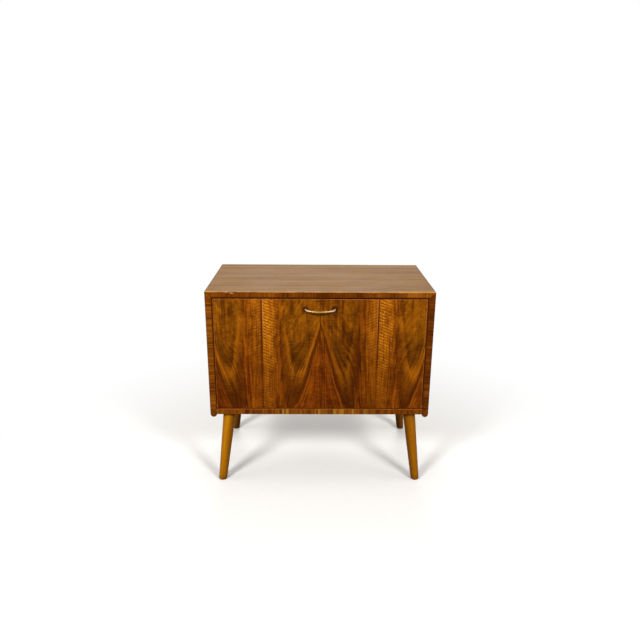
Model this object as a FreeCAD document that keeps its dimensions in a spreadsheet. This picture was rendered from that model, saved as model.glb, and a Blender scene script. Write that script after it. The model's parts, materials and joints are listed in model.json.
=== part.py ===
import FreeCAD, Part
import math
import os
import re
import Sketcher

# A fall-front bar cabinet on four splayed legs, in millimetres.
# X runs along the width, the front faces -Y, Z is up and the floor is at zero.

# Driving sizes, each one a cell of the sheet
SIZES = {
    # case
    "case_width": 750,
    "case_depth": 408,
    "leg_height": 258,
    "carcase_height": 416,
    "top_thickness": 20,
    "side_thickness": 22,
    "base_thickness": 20,
    "runner_height": 30,
    "band_thickness": 1,
    "case_arris": 0.9,
    "back_thickness": 6,
    "back_lap": 10,
    "spline_width": 14,
    "spline_thickness": 4,
    "spline_corner_inset": 9,
    "spline_end_inset": 12,
    "dowel_diameter": 8,
    "dowel_depth": 12,
    "dowel_inset": 60,
    "dowel_stagger": 26,
    # shelf
    "shelf_thickness": 16,
    "shelf_depth": 190,
    "shelf_rise": 204,
    "shelf_end_gap": 1,
    "shelf_back_gap": 2,
    "shelf_pin_diameter": 5,
    "shelf_pin_depth": 10,
    "shelf_pin_reach": 9,
    "shelf_pin_inset": 30,
    # legs
    "leg_top_diameter": 43.5,
    "leg_foot_diameter": 28.5,
    "leg_tilt": 9.6,
    "leg_side_inset": 61.5,
    "leg_front_inset": 39,
    "leg_back_inset": 46,
    "foot_ease": 2,
    "plate_side": 56,
    "plate_thickness": 3,
    "plate_screw_spread": 21,
    "boss_diameter": 14,
    "boss_height": 9,
    "boss_clearance": 3,
    "leg_bolt_diameter": 8,
    "leg_bolt_depth": 32,
    "glide_height": 2.5,
    "glide_margin": 3,
    "glide_nail_diameter": 2.5,
    "glide_nail_length": 12,
    # fall front
    "door_thickness": 20,
    "door_setback": 1,
    "side_gap": 2.5,
    "top_gap": 4,
    "bottom_gap": 3,
    "veneer_thickness": 0.8,
    "door_arris": 0.6,
    "veneer_leaf_width": 192,
    # pull
    "pull_centres": 96,
    "pull_drop": 58.5,
    "pull_projection": 35,
    "pull_diameter": 5.5,
    "pull_bend_radius": 24,
    "pull_bow_angle": 30,
    "pull_foot_diameter": 7,
    "pull_foot_height": 1,
    "pull_screw_diameter": 3,
    "pull_screw_grip": 7,
    "pull_screw_head_diameter": 6,
    "pull_screw_head_height": 2.4,
    # knife hinges
    "hinge_offset": 6,
    "hinge_leaf_width": 9,
    "hinge_leaf_length": 46,
    "hinge_leaf_thickness": 2,
    "hinge_pin_diameter": 4.5,
    "hinge_pin_clearance": 0.05,
    "hinge_pin_end_gap": 0.2,
    "hinge_screw_first": 18,
    "hinge_screw_pitch": 20,
    # fall stays
    "fall_angle": 90,
    "stay_pivot_rise": 170,
    "stay_pivot_standoff": 12,
    "stay_stud_angle": 30,
    "stay_plate_thickness": 2,
    "stay_plate_length": 34,
    "stay_plate_height": 16,
    "stay_plate_screw_spread": 12,
    "stay_collar_height": 2,
    "stay_collar_diameter": 10,
    "stay_stud_diameter": 6,
    "stay_stud_head_diameter": 11,
    "stay_stud_head_height": 1.6,
    "stay_arm_width": 14,
    "stay_arm_thickness": 2,
    "stay_arm_clearance": 0.2,
    "stay_slot_clearance": 0.2,
    "stay_slot_end_gap": 0.3,
    "stay_arm_tail": 8,
    "stay_rivet_diameter": 5,
    "stay_rivet_clearance": 0.05,
    "stay_rivet_head_diameter": 9,
    "stay_rivet_head_height": 1.2,
    "stay_bracket_thickness": 2,
    "stay_bracket_height": 44,
    "stay_bracket_flange": 16,
    "stay_bracket_screw_spread": 15,
    # magnetic catch
    "catch_width": 34,
    "catch_depth": 16,
    "catch_height": 14,
    "catch_ear_length": 9,
    "catch_ear_thickness": 3,
    "catch_gap": 0.3,
    "magnet_width": 28,
    "magnet_height": 6,
    "magnet_depth": 10,
    "magnet_proud": 0.8,
    "strike_width": 40,
    "strike_height": 12,
    "strike_thickness": 1.2,
    "strike_edge": 1,
    "strike_screw_spread": 13,
    # wood screws: head and shank diameters and lengths
    "screw_head_diameter": 7,
    "screw_shank_diameter": 3.5,
    "back_screw_length": 22,
    "back_screw_margin": 5,
    "back_screw_inset": 60,
    "plate_screw_length": 16,
    "small_head_diameter": 4.4,
    "small_shank_diameter": 2.4,
    "small_screw_length": 13,
    "drive_slot_width": 0.8,
    "drive_slot_depth": 0.6,
}

# Places worked out from the driving sizes
PLACES = {
    # case
    "half_width": "case_width / 2",
    "inner_half": "half_width - side_thickness",
    "front_y": "-(case_depth - pull_projection + door_setback) / 2",
    "back_y": "front_y + case_depth",
    "panel_front": "front_y + band_thickness",
    "panel_depth": "case_depth - band_thickness",
    "base_top": "leg_height + base_thickness",
    "overall_height": "base_top + carcase_height",
    "top_under": "overall_height - top_thickness",
    "runner_bottom": "base_top - runner_height",
    "runner_axis": "runner_bottom + side_thickness / 2",
    "back_face": "back_y - back_thickness",
    "recess_half": "inner_half + back_lap",
    "spline_x": "inner_half + spline_corner_inset",
    "spline_z": "top_under + spline_corner_inset",
    "dowel_x": "half_width - side_thickness / 2",
    "dowel_z": "base_top - base_thickness / 2",
    "middle_y": "front_y + case_depth / 2",
    "front_dowel_y": "front_y + dowel_inset",
    "back_dowel_y": "back_y - dowel_inset",
    # shelf
    "shelf_half": "inner_half - shelf_end_gap",
    "shelf_back": "back_face - shelf_back_gap",
    "shelf_front": "shelf_back - shelf_depth",
    "shelf_under": "base_top + shelf_rise",
    "shelf_pin_z": "shelf_under - shelf_pin_diameter / 2",
    # legs
    "plate_under": "leg_height - plate_thickness",
    "leg_top_x": "half_width - leg_side_inset",
    "leg_top_front_y": "front_y + leg_front_inset",
    "leg_top_back_y": "back_y - leg_back_inset",
    "leg_length": "(plate_under - glide_height) / cos(leg_tilt)",
    "leg_overrun": "leg_top_diameter / 2 * tan(leg_tilt) + 1",
    "leg_taper": "(leg_top_diameter - leg_foot_diameter) / 2 / leg_length",
    "leg_lean": "sin(leg_tilt) / sqrt(2)",
    "boss_room": "boss_height + boss_diameter * sin(leg_tilt) + 1",
    # fall front
    "door_front": "front_y + door_setback",
    "door_back": "door_front + door_thickness",
    "core_front": "door_front + veneer_thickness",
    "core_back": "door_back - veneer_thickness",
    "door_half": "inner_half - side_gap",
    "door_low": "base_top + bottom_gap",
    "door_high": "top_under - top_gap",
    # pull
    "pull_half": "pull_centres / 2",
    "pull_z": "overall_height - pull_drop",
    "bow_radius": "(pull_half - pull_bend_radius * (1 - sin(pull_bow_angle))) / sin(pull_bow_angle)",
    "bow_rise": "bow_radius * (1 - cos(pull_bow_angle))",
    "bend_reach": "pull_bend_radius * cos(pull_bow_angle)",
    "pull_rod": "pull_diameter / 2",
    "pull_foot_half": "pull_foot_diameter / 2",
    "post_length": "pull_projection - pull_diameter / 2 - bow_rise - bend_reach",
    "bow_centre": "pull_projection - pull_diameter / 2 - bow_radius",
    # knife hinges
    "hinge_y": "door_front + hinge_offset",
    "hinge_z": "door_low + hinge_offset",
    "hinge_half": "hinge_leaf_width / 2",
    # fall stays, about the hinge axis
    "pivot_in": "door_thickness + stay_pivot_standoff - hinge_offset",
    "pivot_y": "hinge_y + pivot_in",
    "pivot_z": "hinge_z + stay_pivot_rise",
    "stay_radius": "sqrt(pivot_in * pivot_in + stay_pivot_rise * stay_pivot_rise)",
    "pivot_angle": "atan(pivot_in / stay_pivot_rise) / 1deg",
    "stud_y": "hinge_y + stay_radius * sin(stay_stud_angle)",
    "stud_z": "hinge_z + stay_radius * cos(stay_stud_angle)",
    "arm_angle": "-(pivot_angle + stay_stud_angle) / 2",
    "slot_start": "2 * stay_radius * sin((stay_stud_angle - pivot_angle) / 2)",
    "slot_end": "2 * stay_radius * sin((stay_stud_angle - pivot_angle + fall_angle) / 2)",
    "slot_first": "slot_start - stay_slot_end_gap",
    "slot_last": "slot_end + stay_slot_end_gap",
    "arm_last": "slot_last + stay_arm_tail - stay_arm_width / 2 + slot_half",
    "slot_half": "stay_stud_diameter / 2 + stay_slot_clearance",
    "arm_half": "stay_arm_width / 2",
    "rivet_hole": "stay_rivet_diameter / 2 + stay_rivet_clearance",
    "collar_end": "stay_plate_thickness + stay_collar_height",
    "arm_near": "collar_end + stay_arm_clearance",
    "arm_far": "arm_near + stay_arm_thickness",
    "lug_near": "arm_far + stay_arm_clearance",
    "lug_far": "lug_near + stay_bracket_thickness",
    "flange_far": "lug_far + stay_bracket_flange",
    "flange_mid": "lug_far + stay_bracket_flange / 2",
    "flange_face": "door_back + stay_bracket_thickness",
    "rivet_near": "arm_near - stay_arm_clearance - stay_rivet_head_height",
    # magnetic catch
    "strike_face": "door_back + strike_thickness",
    "magnet_front": "strike_face + catch_gap",
    "catch_front": "magnet_front + magnet_proud",
    "catch_mid": "top_under - catch_height / 2",
    "catch_half": "catch_width / 2",
    "ear_half": "catch_half + catch_ear_length",
    "ear_mid": "catch_half + catch_ear_length / 2",
    "ear_under": "top_under - catch_ear_thickness",
    "strike_high": "door_high - strike_edge",
    "strike_mid": "strike_high - strike_height / 2",
}

X_AXIS = FreeCAD.Vector(1, 0, 0)
Y_AXIS = FreeCAD.Vector(0, 1, 0)
TURN_TO = {
    "+X": FreeCAD.Rotation(Y_AXIS, 90),
    "-X": FreeCAD.Rotation(Y_AXIS, -90),
    "+Y": FreeCAD.Rotation(X_AXIS, -90),
    "-Y": FreeCAD.Rotation(X_AXIS, 90),
    "+Z": FreeCAD.Rotation(),
    "-Z": FreeCAD.Rotation(X_AXIS, 180),
}
SIDES = {"left": "-1", "right": "1"}
SIDE_AXIS = {"left": ("+X", "-X"), "right": ("-X", "+X")}
LEGS = {
    "front_left": (-1, -1),
    "front_right": (1, -1),
    "back_left": (-1, 1),
    "back_right": (1, 1),
}

doc = FreeCAD.newDocument("Cellarette")


def fill_sheet(name, cells):
    """Make a sheet with one named cell on each row."""
    sheet = doc.addObject("Spreadsheet::Sheet", name)
    for row, (alias, text) in enumerate(cells.items(), start=1):
        sheet.set(f"A{row}", alias)
        sheet.set(f"B{row}", text)
        sheet.setAlias(f"B{row}", alias)
    return sheet


def bound(text):
    """Return an expression with each named value led by its sheet."""

    def lead(word):
        name = word.group(0)
        if name in SIZES:
            return f"Sizes.{name}"
        if name in PLACES:
            return f"Places.{name}"
        return name

    return re.sub(r"[a-z][a-z_]*", lead, text)


def number(name):
    """Return a named value as a number."""
    sheet = sizes if name in SIZES else places
    return float(sheet.get(name))


sizes = fill_sheet("Sizes", {name: str(value) for name, value in SIZES.items()})
places = fill_sheet("Places", {name: f"={bound(text)}" for name, text in PLACES.items()})
doc.recompute()
nodes = []


def node(label, piece):
    """Name a finished piece as a sub-part of its own."""
    piece.Label = label
    nodes.append(piece)
    return piece


def shift(piece, x="0", y="0", z="0"):
    """Bind the place of a piece."""
    for axis, text in zip("xyz", (x, y, z)):
        piece.setExpression(f"Placement.Base.{axis}", bound(text))
    return piece


def block(name, x, y, z):
    """Make a box between two values along each axis."""
    piece = doc.addObject("Part::Box", name)
    for size, (low, high) in zip(("Length", "Width", "Height"), (x, y, z)):
        piece.setExpression(size, bound(f"({high}) - ({low})"))
    return shift(piece, x[0], y[0], z[0])


def turn_to(piece, axis, start):
    """Point a turned piece along an axis from its start."""
    piece.Placement = FreeCAD.Placement(FreeCAD.Vector(), TURN_TO[axis])
    return shift(piece, *start)


def rod(name, start, axis, length, diameter):
    """Make a cylinder along an axis."""
    piece = doc.addObject("Part::Cylinder", name)
    piece.setExpression("Radius", bound(f"({diameter}) / 2"))
    piece.setExpression("Height", bound(length))
    return turn_to(piece, axis, start)


def fuse(name, *pieces):
    """Join pieces into one solid."""
    joined = doc.addObject("Part::MultiFuse", name)
    joined.Shapes = list(pieces)
    joined.Refine = True
    return joined


def group(name, pieces):
    """Hold separate solids together as one sub-part."""
    held = doc.addObject("Part::Compound", name)
    held.Links = list(pieces)
    return held


def cut(name, base, *tools):
    """Take tools away from a base, one after another."""
    for count, tool in enumerate(tools, start=1):
        last = count == len(tools)
        made = doc.addObject("Part::Cut", name if last else f"{name}_cut_{count}")
        made.Base = base
        made.Tool = tool
        base = made
    return base


def common(name, base, tool):
    """Keep what two pieces share."""
    made = doc.addObject("Part::Common", name)
    made.Base = base
    made.Tool = tool
    return made


def ease(name, blank, radius, wanted):
    """Round the edges of a blank that a test on the edge picks out."""
    doc.recompute()
    size = number(radius)
    picked = [index for index, edge in enumerate(blank.Shape.Edges, start=1) if wanted(edge.BoundBox)]
    eased = doc.addObject("Part::Fillet", name)
    eased.Base = blank
    eased.Edges = [(index, size, size) for index in picked]
    return eased


def body_with(name):
    """Make a body and return it with its origin planes by role."""
    body = doc.addObject("PartDesign::Body", name)
    planes = {plane.Role: plane for plane in body.Origin.OriginFeatures}
    return body, planes


def sketch_on(body, plane, name):
    """Attach a sketch to one of a body's origin planes."""
    sketch = body.newObject("Sketcher::SketchObject", name)
    sketch.AttachmentSupport = [(plane, "")]
    sketch.MapMode = "FlatFace"
    return sketch


def tie(sketch, kind, *terms):
    """Add a constraint whose last term is a bound expression."""
    text = terms[-1]
    numbers = terms[:-1]
    index = sketch.addConstraint(Sketcher.Constraint(kind, *numbers))
    sketch.setExpression(f"Constraints[{index}]", bound(text))


def tie_point(sketch, shape, end, x, y):
    """Bind one point of a sketch to its distances from the origin."""
    point = sketch.getPoint(shape, end)
    tie(sketch, "DistanceX", -1, 1, shape, end, point.x, x)
    tie(sketch, "DistanceY", -1, 1, shape, end, point.y, y)


def polygon(sketch, corners):
    """Draw a closed outline through bound corners, each a pair of signed names."""
    points = [FreeCAD.Vector(signed(x), signed(y), 0) for x, y in corners]
    count = len(points)
    for index, point in enumerate(points):
        sketch.addGeometry(Part.LineSegment(point, points[(index + 1) % count]), False)
    for index, (x, y) in enumerate(corners):
        sketch.addConstraint(Sketcher.Constraint("Coincident", index, 2, (index + 1) % count, 1))
        tie_point(sketch, index, 1, x, y)


def signed(text):
    """Return a name's number, with the sign written before it, or zero."""
    if text == "0":
        return 0.0
    if text.startswith("-"):
        return -number(text[1:])
    return number(text)


def pad_outline(name, corners, start, depth):
    """Extrude an outline in the XZ plane back along +Y from its start."""
    body, planes = body_with(name)
    outline = sketch_on(body, planes["XZ_Plane"], f"{name}_outline")
    polygon(outline, corners)
    pad = body.newObject("PartDesign::Pad", f"{name}_pad")
    pad.Profile = outline
    pad.Reversed = True
    pad.setExpression("Length", bound(depth))
    return shift(body, y=start)


def circle(sketch, x, y, radius):
    """Draw a bound circle."""
    centre = FreeCAD.Vector(signed(x), signed(y), 0)
    index = sketch.addGeometry(Part.Circle(centre, FreeCAD.Vector(0, 0, 1), number(radius)), False)
    tie_point(sketch, index, 3, x, y)
    tie(sketch, "Radius", index, number(radius), radius)


def slot(sketch, first, last, radius):
    """Draw a round-ended slot along the sketch's own X axis."""
    low, high, half = signed(first), signed(last), number(radius)
    normal = FreeCAD.Vector(0, 0, 1)
    lower = Part.LineSegment(FreeCAD.Vector(low, -half, 0), FreeCAD.Vector(high, -half, 0))
    upper = Part.LineSegment(FreeCAD.Vector(high, half, 0), FreeCAD.Vector(low, half, 0))
    far = Part.Circle(FreeCAD.Vector(high, 0, 0), normal, half)
    near = Part.Circle(FreeCAD.Vector(low, 0, 0), normal, half)
    far_arc = Part.ArcOfCircle(far, -math.pi / 2, math.pi / 2)
    near_arc = Part.ArcOfCircle(near, math.pi / 2, 3 * math.pi / 2)
    ring = [sketch.addGeometry(curve, False) for curve in (lower, far_arc, upper, near_arc)]
    for this, following in zip(ring, ring[1:] + ring[:1]):
        sketch.addConstraint(Sketcher.Constraint("Tangent", this, 2, following, 1))
    tie_point(sketch, ring[1], 3, last, "0")
    tie(sketch, "DistanceX", -1, 1, ring[3], 3, low, first)
    tie(sketch, "Radius", ring[1], half, radius)


def along(side, near, far):
    """Return the X span at two distances in from a side panel's inner face."""
    if side == "left":
        return f"-inner_half + {near}", f"-inner_half + {far}"
    return f"inner_half - ({far})", f"inner_half - ({near})"


def at_side(side, distance):
    """Return the X place at a distance in from a side panel's inner face."""
    return f"{SIDES[side]} * (inner_half - ({distance}))"


def drive_slot(name, start, axis, head):
    """Make the bar that cuts a screw's drive slot."""
    turn = TURN_TO[axis]
    local = (f"-({head}) / 2", "-drive_slot_width / 2", "0")
    bar = doc.addObject("Part::Box", name)
    bar.setExpression("Length", bound(head))
    bar.setExpression("Width", bound("drive_slot_width"))
    bar.setExpression("Height", bound("drive_slot_depth"))
    bar.Placement = FreeCAD.Placement(FreeCAD.Vector(), turn)
    steps = [turn.multVec(FreeCAD.Vector(*unit)) for unit in ((1, 0, 0), (0, 1, 0), (0, 0, 1))]
    corner = []
    for world in range(3):
        terms = [f"{round(step[world])} * ({text})" for step, text in zip(steps, local)]
        corner.append(f"{start[world]} + {' + '.join(terms)}")
    return shift(bar, *corner)


def wood_screw(name, start, axis, length, head="screw_head_diameter", shank="screw_shank_diameter"):
    """Make a countersunk screw, head face at the start, and return its plain and its slotted form."""
    cone = doc.addObject("Part::Cone", f"{name}_head")
    cone.setExpression("Radius1", bound(f"{head} / 2"))
    cone.setExpression("Radius2", bound(f"{shank} / 2"))
    cone.setExpression("Height", bound(f"({head} - {shank}) / 2"))
    turn_to(cone, axis, start)
    plain = fuse(f"{name}_plain", cone, rod(f"{name}_shank", start, axis, length, shank))
    return plain, cut(name, plain, drive_slot(f"{name}_slot", start, axis, head))


def small_screw(name, start, axis):
    """Make one of the fine screws that hold the fittings."""
    return wood_screw(name, start, axis, "small_screw_length", "small_head_diameter", "small_shank_diameter")


def screw_group(label, made):
    """Name a group of slotted screws and return the plain group that cuts their holes."""
    node(label, group(label, [slotted for _, slotted in made]))
    return group(f"{label}_holes", [plain for plain, _ in made])


# Outer form of the case and of the fall front, with their arrises eased
case_form = ease(
    "case_form",
    block("case_block", ("-half_width", "half_width"), ("front_y", "back_y"), ("0", "overall_height")),
    "case_arris",
    lambda box: box.ZMax > number("top_under"),
)
door_form = ease(
    "door_form",
    block("door_block", ("-door_half", "door_half"), ("door_front", "door_back"), ("door_low", "door_high")),
    "door_arris",
    lambda box: box.YMax < number("core_front"),
)

# Blank of the back panel, which also cuts the rebate that it lies in
back_recess = block(
    "back_recess",
    ("-recess_half", "recess_half"),
    ("back_face", "back_y"),
    ("base_top - back_lap", "top_under + back_lap"),
)

# Outlines of the top and the sides, mitred where they meet
TOP_OUTLINE = [
    ("-half_width", "overall_height"),
    ("-inner_half", "top_under"),
    ("inner_half", "top_under"),
    ("half_width", "overall_height"),
]
SIDE_OUTLINES = {
    "left": [
        ("-half_width", "base_top"),
        ("-inner_half", "base_top"),
        ("-inner_half", "top_under"),
        ("-half_width", "overall_height"),
    ],
    "right": [
        ("inner_half", "base_top"),
        ("half_width", "base_top"),
        ("half_width", "overall_height"),
        ("inner_half", "top_under"),
    ],
}


def corner_spline(side):
    """Make the loose spline across one top mitre."""
    turn = -45 if side == "left" else 45
    reach = "(spline_width + spline_thickness) / 2 * cos(45)"
    drop = "(spline_width - spline_thickness) / 2 * cos(45)"
    spline = doc.addObject("Part::Box", f"{side}_spline_strip")
    spline.setExpression("Length", bound("spline_width"))
    spline.setExpression("Width", bound("back_face - panel_front - 2 * spline_end_inset"))
    spline.setExpression("Height", bound("spline_thickness"))
    spline.Placement = FreeCAD.Placement(FreeCAD.Vector(), FreeCAD.Rotation(Y_AXIS, turn))
    start = "panel_front + spline_end_inset"
    if side == "left":
        shift(spline, f"-spline_x - {drop}", start, f"spline_z - {reach}")
    else:
        shift(spline, f"spline_x - {reach}", start, f"spline_z + {drop}")
    return node(f"{side}_corner_spline", spline)


def dowel_row(side, kind):
    """Make the dowels of one joint: upright under a side, or level at an end of the base."""
    made = []
    for count, y in enumerate(("front_dowel_y", "middle_y", "back_dowel_y"), start=1):
        name = f"{side}_{kind}_dowel_{count}"
        if kind == "side":
            start = (f"{SIDES[side]} * dowel_x", y, "base_top - dowel_depth")
            made.append(rod(name, start, "+Z", "2 * dowel_depth", "dowel_diameter"))
        else:
            start = (at_side(side, "dowel_depth"), f"{y} + dowel_stagger", "dowel_z")
            outward = SIDE_AXIS[side][1]
            made.append(rod(name, start, outward, "2 * dowel_depth", "dowel_diameter"))
    return made


side_dowels = {side: dowel_row(side, "side") for side in SIDES}
base_dowels = {side: dowel_row(side, "base") for side in SIDES}
side_dowel_holes = {side: group(f"{side}_dowel_holes", row) for side, row in side_dowels.items()}
base_dowel_holes = {side: group(f"{side}_base_holes", row) for side, row in base_dowels.items()}
node("side_dowels", group("side_dowels", side_dowels["left"] + side_dowels["right"]))
node("base_dowels", group("base_dowels", base_dowels["left"] + base_dowels["right"]))
splines = {side: corner_spline(side) for side in SIDES}


# Back panel and its screws
def back_screws():
    """Make the screws round the edge of the back panel."""
    made = []
    high = "top_under + back_screw_margin"
    low = "base_top - back_screw_margin"
    reach = "(inner_half - back_screw_inset)"
    rows = [(f"{step} * {reach}", level) for level in (high, low) for step in (-1, 0, 1)]
    edge = "(inner_half + back_screw_margin)"
    rise = "(top_under - base_top)"
    rows += [(f"{step} * {edge}", f"base_top + {rise} * {part} / 3") for step in (-1, 1) for part in (1, 2)]
    for count, (x, z) in enumerate(rows, start=1):
        start = (x, "back_y", z)
        made.append(wood_screw(f"back_screw_{count}", start, "-Y", "back_screw_length"))
    return made


back_screw_holes = screw_group("back_panel_screws", back_screws())
node("back_panel", cut("back_panel", back_recess, back_screw_holes))


# Legs: each leans out along the diagonal from its plate under the base
def leg_point(leg, distance):
    """Return the place on a leg's axis at a distance down from its top."""
    out_x, out_y = LEGS[leg]
    row = "leg_top_front_y" if out_y < 0 else "leg_top_back_y"
    return (
        f"{out_x} * (leg_top_x + leg_lean * ({distance}))",
        f"{row} + {out_y} * leg_lean * ({distance})",
        f"plate_under - cos(leg_tilt) * ({distance})",
    )


def lean(piece, leg):
    """Tilt a piece about its start to a leg's axis."""
    out_x, out_y = LEGS[leg]
    axis = FreeCAD.Vector(out_y, -out_x, 0)
    piece.Placement = FreeCAD.Placement(FreeCAD.Vector(), FreeCAD.Rotation(axis, number("leg_tilt")))
    piece.setExpression("Placement.Rotation.Angle", bound("leg_tilt"))
    return piece


def leg_rod(name, leg, below, above, diameter):
    """Make a cylinder on a leg's axis, from below its top to above it."""
    piece = doc.addObject("Part::Cylinder", name)
    piece.setExpression("Radius", bound(f"{diameter} / 2"))
    piece.setExpression("Height", bound(f"({below}) + ({above})"))
    return shift(lean(piece, leg), *leg_point(leg, below))


def leg_cone(leg):
    """Make the tapered leg, longer than its seat and its foot at both ends."""
    cone = doc.addObject("Part::Cone", f"{leg}_cone")
    cone.setExpression("Radius1", bound("leg_foot_diameter / 2 - leg_taper * leg_overrun"))
    cone.setExpression("Radius2", bound("leg_top_diameter / 2 + leg_taper * leg_overrun"))
    cone.setExpression("Height", bound("leg_length + 2 * leg_overrun"))
    return shift(lean(cone, leg), *leg_point(leg, "leg_length + leg_overrun"))


def glide(leg):
    """Make a floor glide with its nail under a foot."""
    x, y, _ = leg_point(leg, "leg_length")
    pad_size = "leg_foot_diameter - 2 * glide_margin"
    disc = rod(f"{leg}_glide_disc", (x, y, "0"), "+Z", "glide_height", pad_size)
    nail_reach = "glide_height + glide_nail_length"
    nail = rod(f"{leg}_glide_nail", (x, y, "0"), "+Z", nail_reach, "glide_nail_diameter")
    return fuse(f"{leg}_glide", disc, nail)


def plate_span(centre):
    """Return a leg plate's span about its centre."""
    return f"{centre} - plate_side / 2", f"{centre} + plate_side / 2"


floor_to_plate = block(
    "floor_to_plate",
    ("-case_width", "case_width"),
    ("-case_depth", "case_depth"),
    ("glide_height", "plate_under"),
)
plate_and_up = block(
    "plate_and_up",
    ("-case_width", "case_width"),
    ("-case_depth", "case_depth"),
    ("plate_under", "overall_height"),
)
bolts = {}
glides = {}
plate_screws = []
boss_recesses = []
for leg in LEGS:
    x, y, z = leg_point(leg, "0")
    bolts[leg] = leg_rod(
        f"{leg}_bolt", leg, "leg_bolt_depth", "plate_thickness + boss_height", "leg_bolt_diameter"
    )
    glides[leg] = glide(leg)
    trimmed = common(f"{leg}_trimmed", leg_cone(leg), floor_to_plate)
    blank = ease(f"{leg}_eased", trimmed, "foot_ease", lambda box: box.ZMax < number("leg_height") / 2)
    node(f"{leg}_leg", cut(f"{leg}_leg", blank, bolts[leg], glides[leg]))
    corners = [(step_x, step_y) for step_x in (-1, 1) for step_y in (-1, 1)]
    screws = []
    for count, (step_x, step_y) in enumerate(corners, start=1):
        start = (f"{x} + {step_x} * plate_screw_spread", f"{y} + {step_y} * plate_screw_spread", z)
        screws.append(wood_screw(f"{leg}_plate_screw_{count}", start, "+Z", "plate_screw_length"))
    plate_screws += screws
    screw_holes = group(f"{leg}_plate_holes", [plain for plain, _ in screws])
    sheet_metal = block(f"{leg}_plate_sheet", plate_span(x), plate_span(y), ("plate_under", "leg_height"))
    boss = leg_rod(f"{leg}_boss", leg, "0", "plate_thickness + boss_height", "boss_diameter")
    upper_boss = common(f"{leg}_upper_boss", boss, plate_and_up)
    plate = fuse(f"{leg}_plate_blank", sheet_metal, upper_boss)
    node(f"{leg}_leg_plate", cut(f"{leg}_leg_plate", plate, bolts[leg], screw_holes))
    recess_size = "boss_diameter + 2 * boss_clearance"
    boss_recesses.append(rod(f"{leg}_boss_recess", (x, y, "leg_height"), "+Z", "boss_room", recess_size))
node("leg_bolts", group("leg_bolts", bolts.values()))
node("leg_glides", group("leg_glides", glides.values()))
plate_screw_holes = screw_group("leg_plate_screws", plate_screws)

# Knife hinges at the lower ends of the fall front
case_leaves = {}
door_leaves = {}
case_hinge_screws = {}
door_hinge_screws = {}


def knife_leaf(name, side, near, far, direction):
    """Make a round-ended leaf that runs from the hinge axis back or up."""
    span_y = ("hinge_y - hinge_half", "hinge_y + hinge_half")
    span_z = ("hinge_z - hinge_half", "hinge_z + hinge_half")
    if direction == "back":
        span_y = ("hinge_y", "hinge_y + hinge_leaf_length")
    else:
        span_z = ("hinge_z", "hinge_z + hinge_leaf_length")
    strip = block(f"{name}_strip", along(side, near, far), span_y, span_z)
    start = (at_side(side, near), "hinge_y", "hinge_z")
    knuckle = rod(f"{name}_knuckle", start, SIDE_AXIS[side][0], f"({far}) - ({near})", "hinge_leaf_width")
    return fuse(f"{name}_blank", strip, knuckle)


for side in SIDES:
    inward, outward = SIDE_AXIS[side]
    case_name = f"{side}_hinge_case_leaf"
    door_name = f"{side}_hinge_door_leaf"
    case_blank = knife_leaf(case_name, side, "-hinge_leaf_thickness", "0", "back")
    door_far = "side_gap + hinge_leaf_thickness"
    door_blank = knife_leaf(door_name, side, "side_gap", door_far, "up")
    case_leaves[side] = case_blank
    door_leaves[side] = door_blank
    case_made = []
    door_made = []
    for count in range(2):
        step = f"hinge_screw_first + {count} * hinge_screw_pitch"
        case_start = (at_side(side, "0"), f"hinge_y + {step}", "hinge_z")
        case_made.append(small_screw(f"{case_name}_screw_{count}", case_start, outward))
        door_start = (at_side(side, "side_gap"), "hinge_y", f"hinge_z + {step}")
        door_made.append(small_screw(f"{door_name}_screw_{count}", door_start, inward))
    case_hinge_screws[side] = case_made
    door_hinge_screws[side] = door_made
    case_holes = group(f"{case_name}_holes", [plain for plain, _ in case_made])
    door_holes = group(f"{door_name}_holes", [plain for plain, _ in door_made])
    pin_start = (at_side(side, "-hinge_leaf_thickness"), "hinge_y", "hinge_z")
    pin_length = "2 * hinge_leaf_thickness + side_gap - hinge_pin_end_gap"
    pin = rod(f"{side}_hinge_pin", pin_start, inward, pin_length, "hinge_pin_diameter")
    node(case_name, fuse(case_name, cut(f"{case_name}_drilled", case_blank, case_holes), pin))
    bore_start = (at_side(side, "side_gap"), "hinge_y", "hinge_z")
    bore_size = "hinge_pin_diameter + 2 * hinge_pin_clearance"
    bore = rod(f"{side}_hinge_bore", bore_start, inward, "hinge_leaf_thickness", bore_size)
    node(door_name, cut(door_name, door_blank, bore, door_holes))
case_hinge_holes = screw_group("hinge_case_screws", case_hinge_screws["left"] + case_hinge_screws["right"])
door_hinge_holes = screw_group("hinge_door_screws", door_hinge_screws["left"] + door_hinge_screws["right"])

# Fall stays: a slotted arm rides on a stud on the side and turns on a rivet on the fall front
stud_screws = []
bracket_screws = []


def stud_plate(side):
    """Make the plate on the side panel with the headed stud that the slot rides on."""
    inward, outward = SIDE_AXIS[side]
    name = f"{side}_stay_stud_plate"
    face = (at_side(side, "0"), "stud_y", "stud_z")
    sheet = block(
        f"{name}_sheet",
        along(side, "0", "stay_plate_thickness"),
        ("stud_y - stay_plate_length / 2", "stud_y + stay_plate_length / 2"),
        ("stud_z - stay_plate_height / 2", "stud_z + stay_plate_height / 2"),
    )
    collar = rod(f"{name}_collar", face, inward, "collar_end", "stay_collar_diameter")
    stud = rod(f"{name}_stud", face, inward, "lug_near", "stay_stud_diameter")
    head_start = (at_side(side, "lug_near"), "stud_y", "stud_z")
    head = rod(f"{name}_head", head_start, inward, "stay_stud_head_height", "stay_stud_head_diameter")
    made = []
    for count, step in enumerate((-1, 1), start=1):
        place = f"stud_y + {step} * stay_plate_screw_spread"
        start = (at_side(side, "stay_plate_thickness"), place, "stud_z")
        made.append(small_screw(f"{name}_screw_{count}", start, outward))
    stud_screws.extend(made)
    holes = group(f"{name}_holes", [plain for plain, _ in made])
    drilled = cut(f"{name}_drilled", sheet, holes)
    return node(name, fuse(name, drilled, collar, stud, head))


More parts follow.
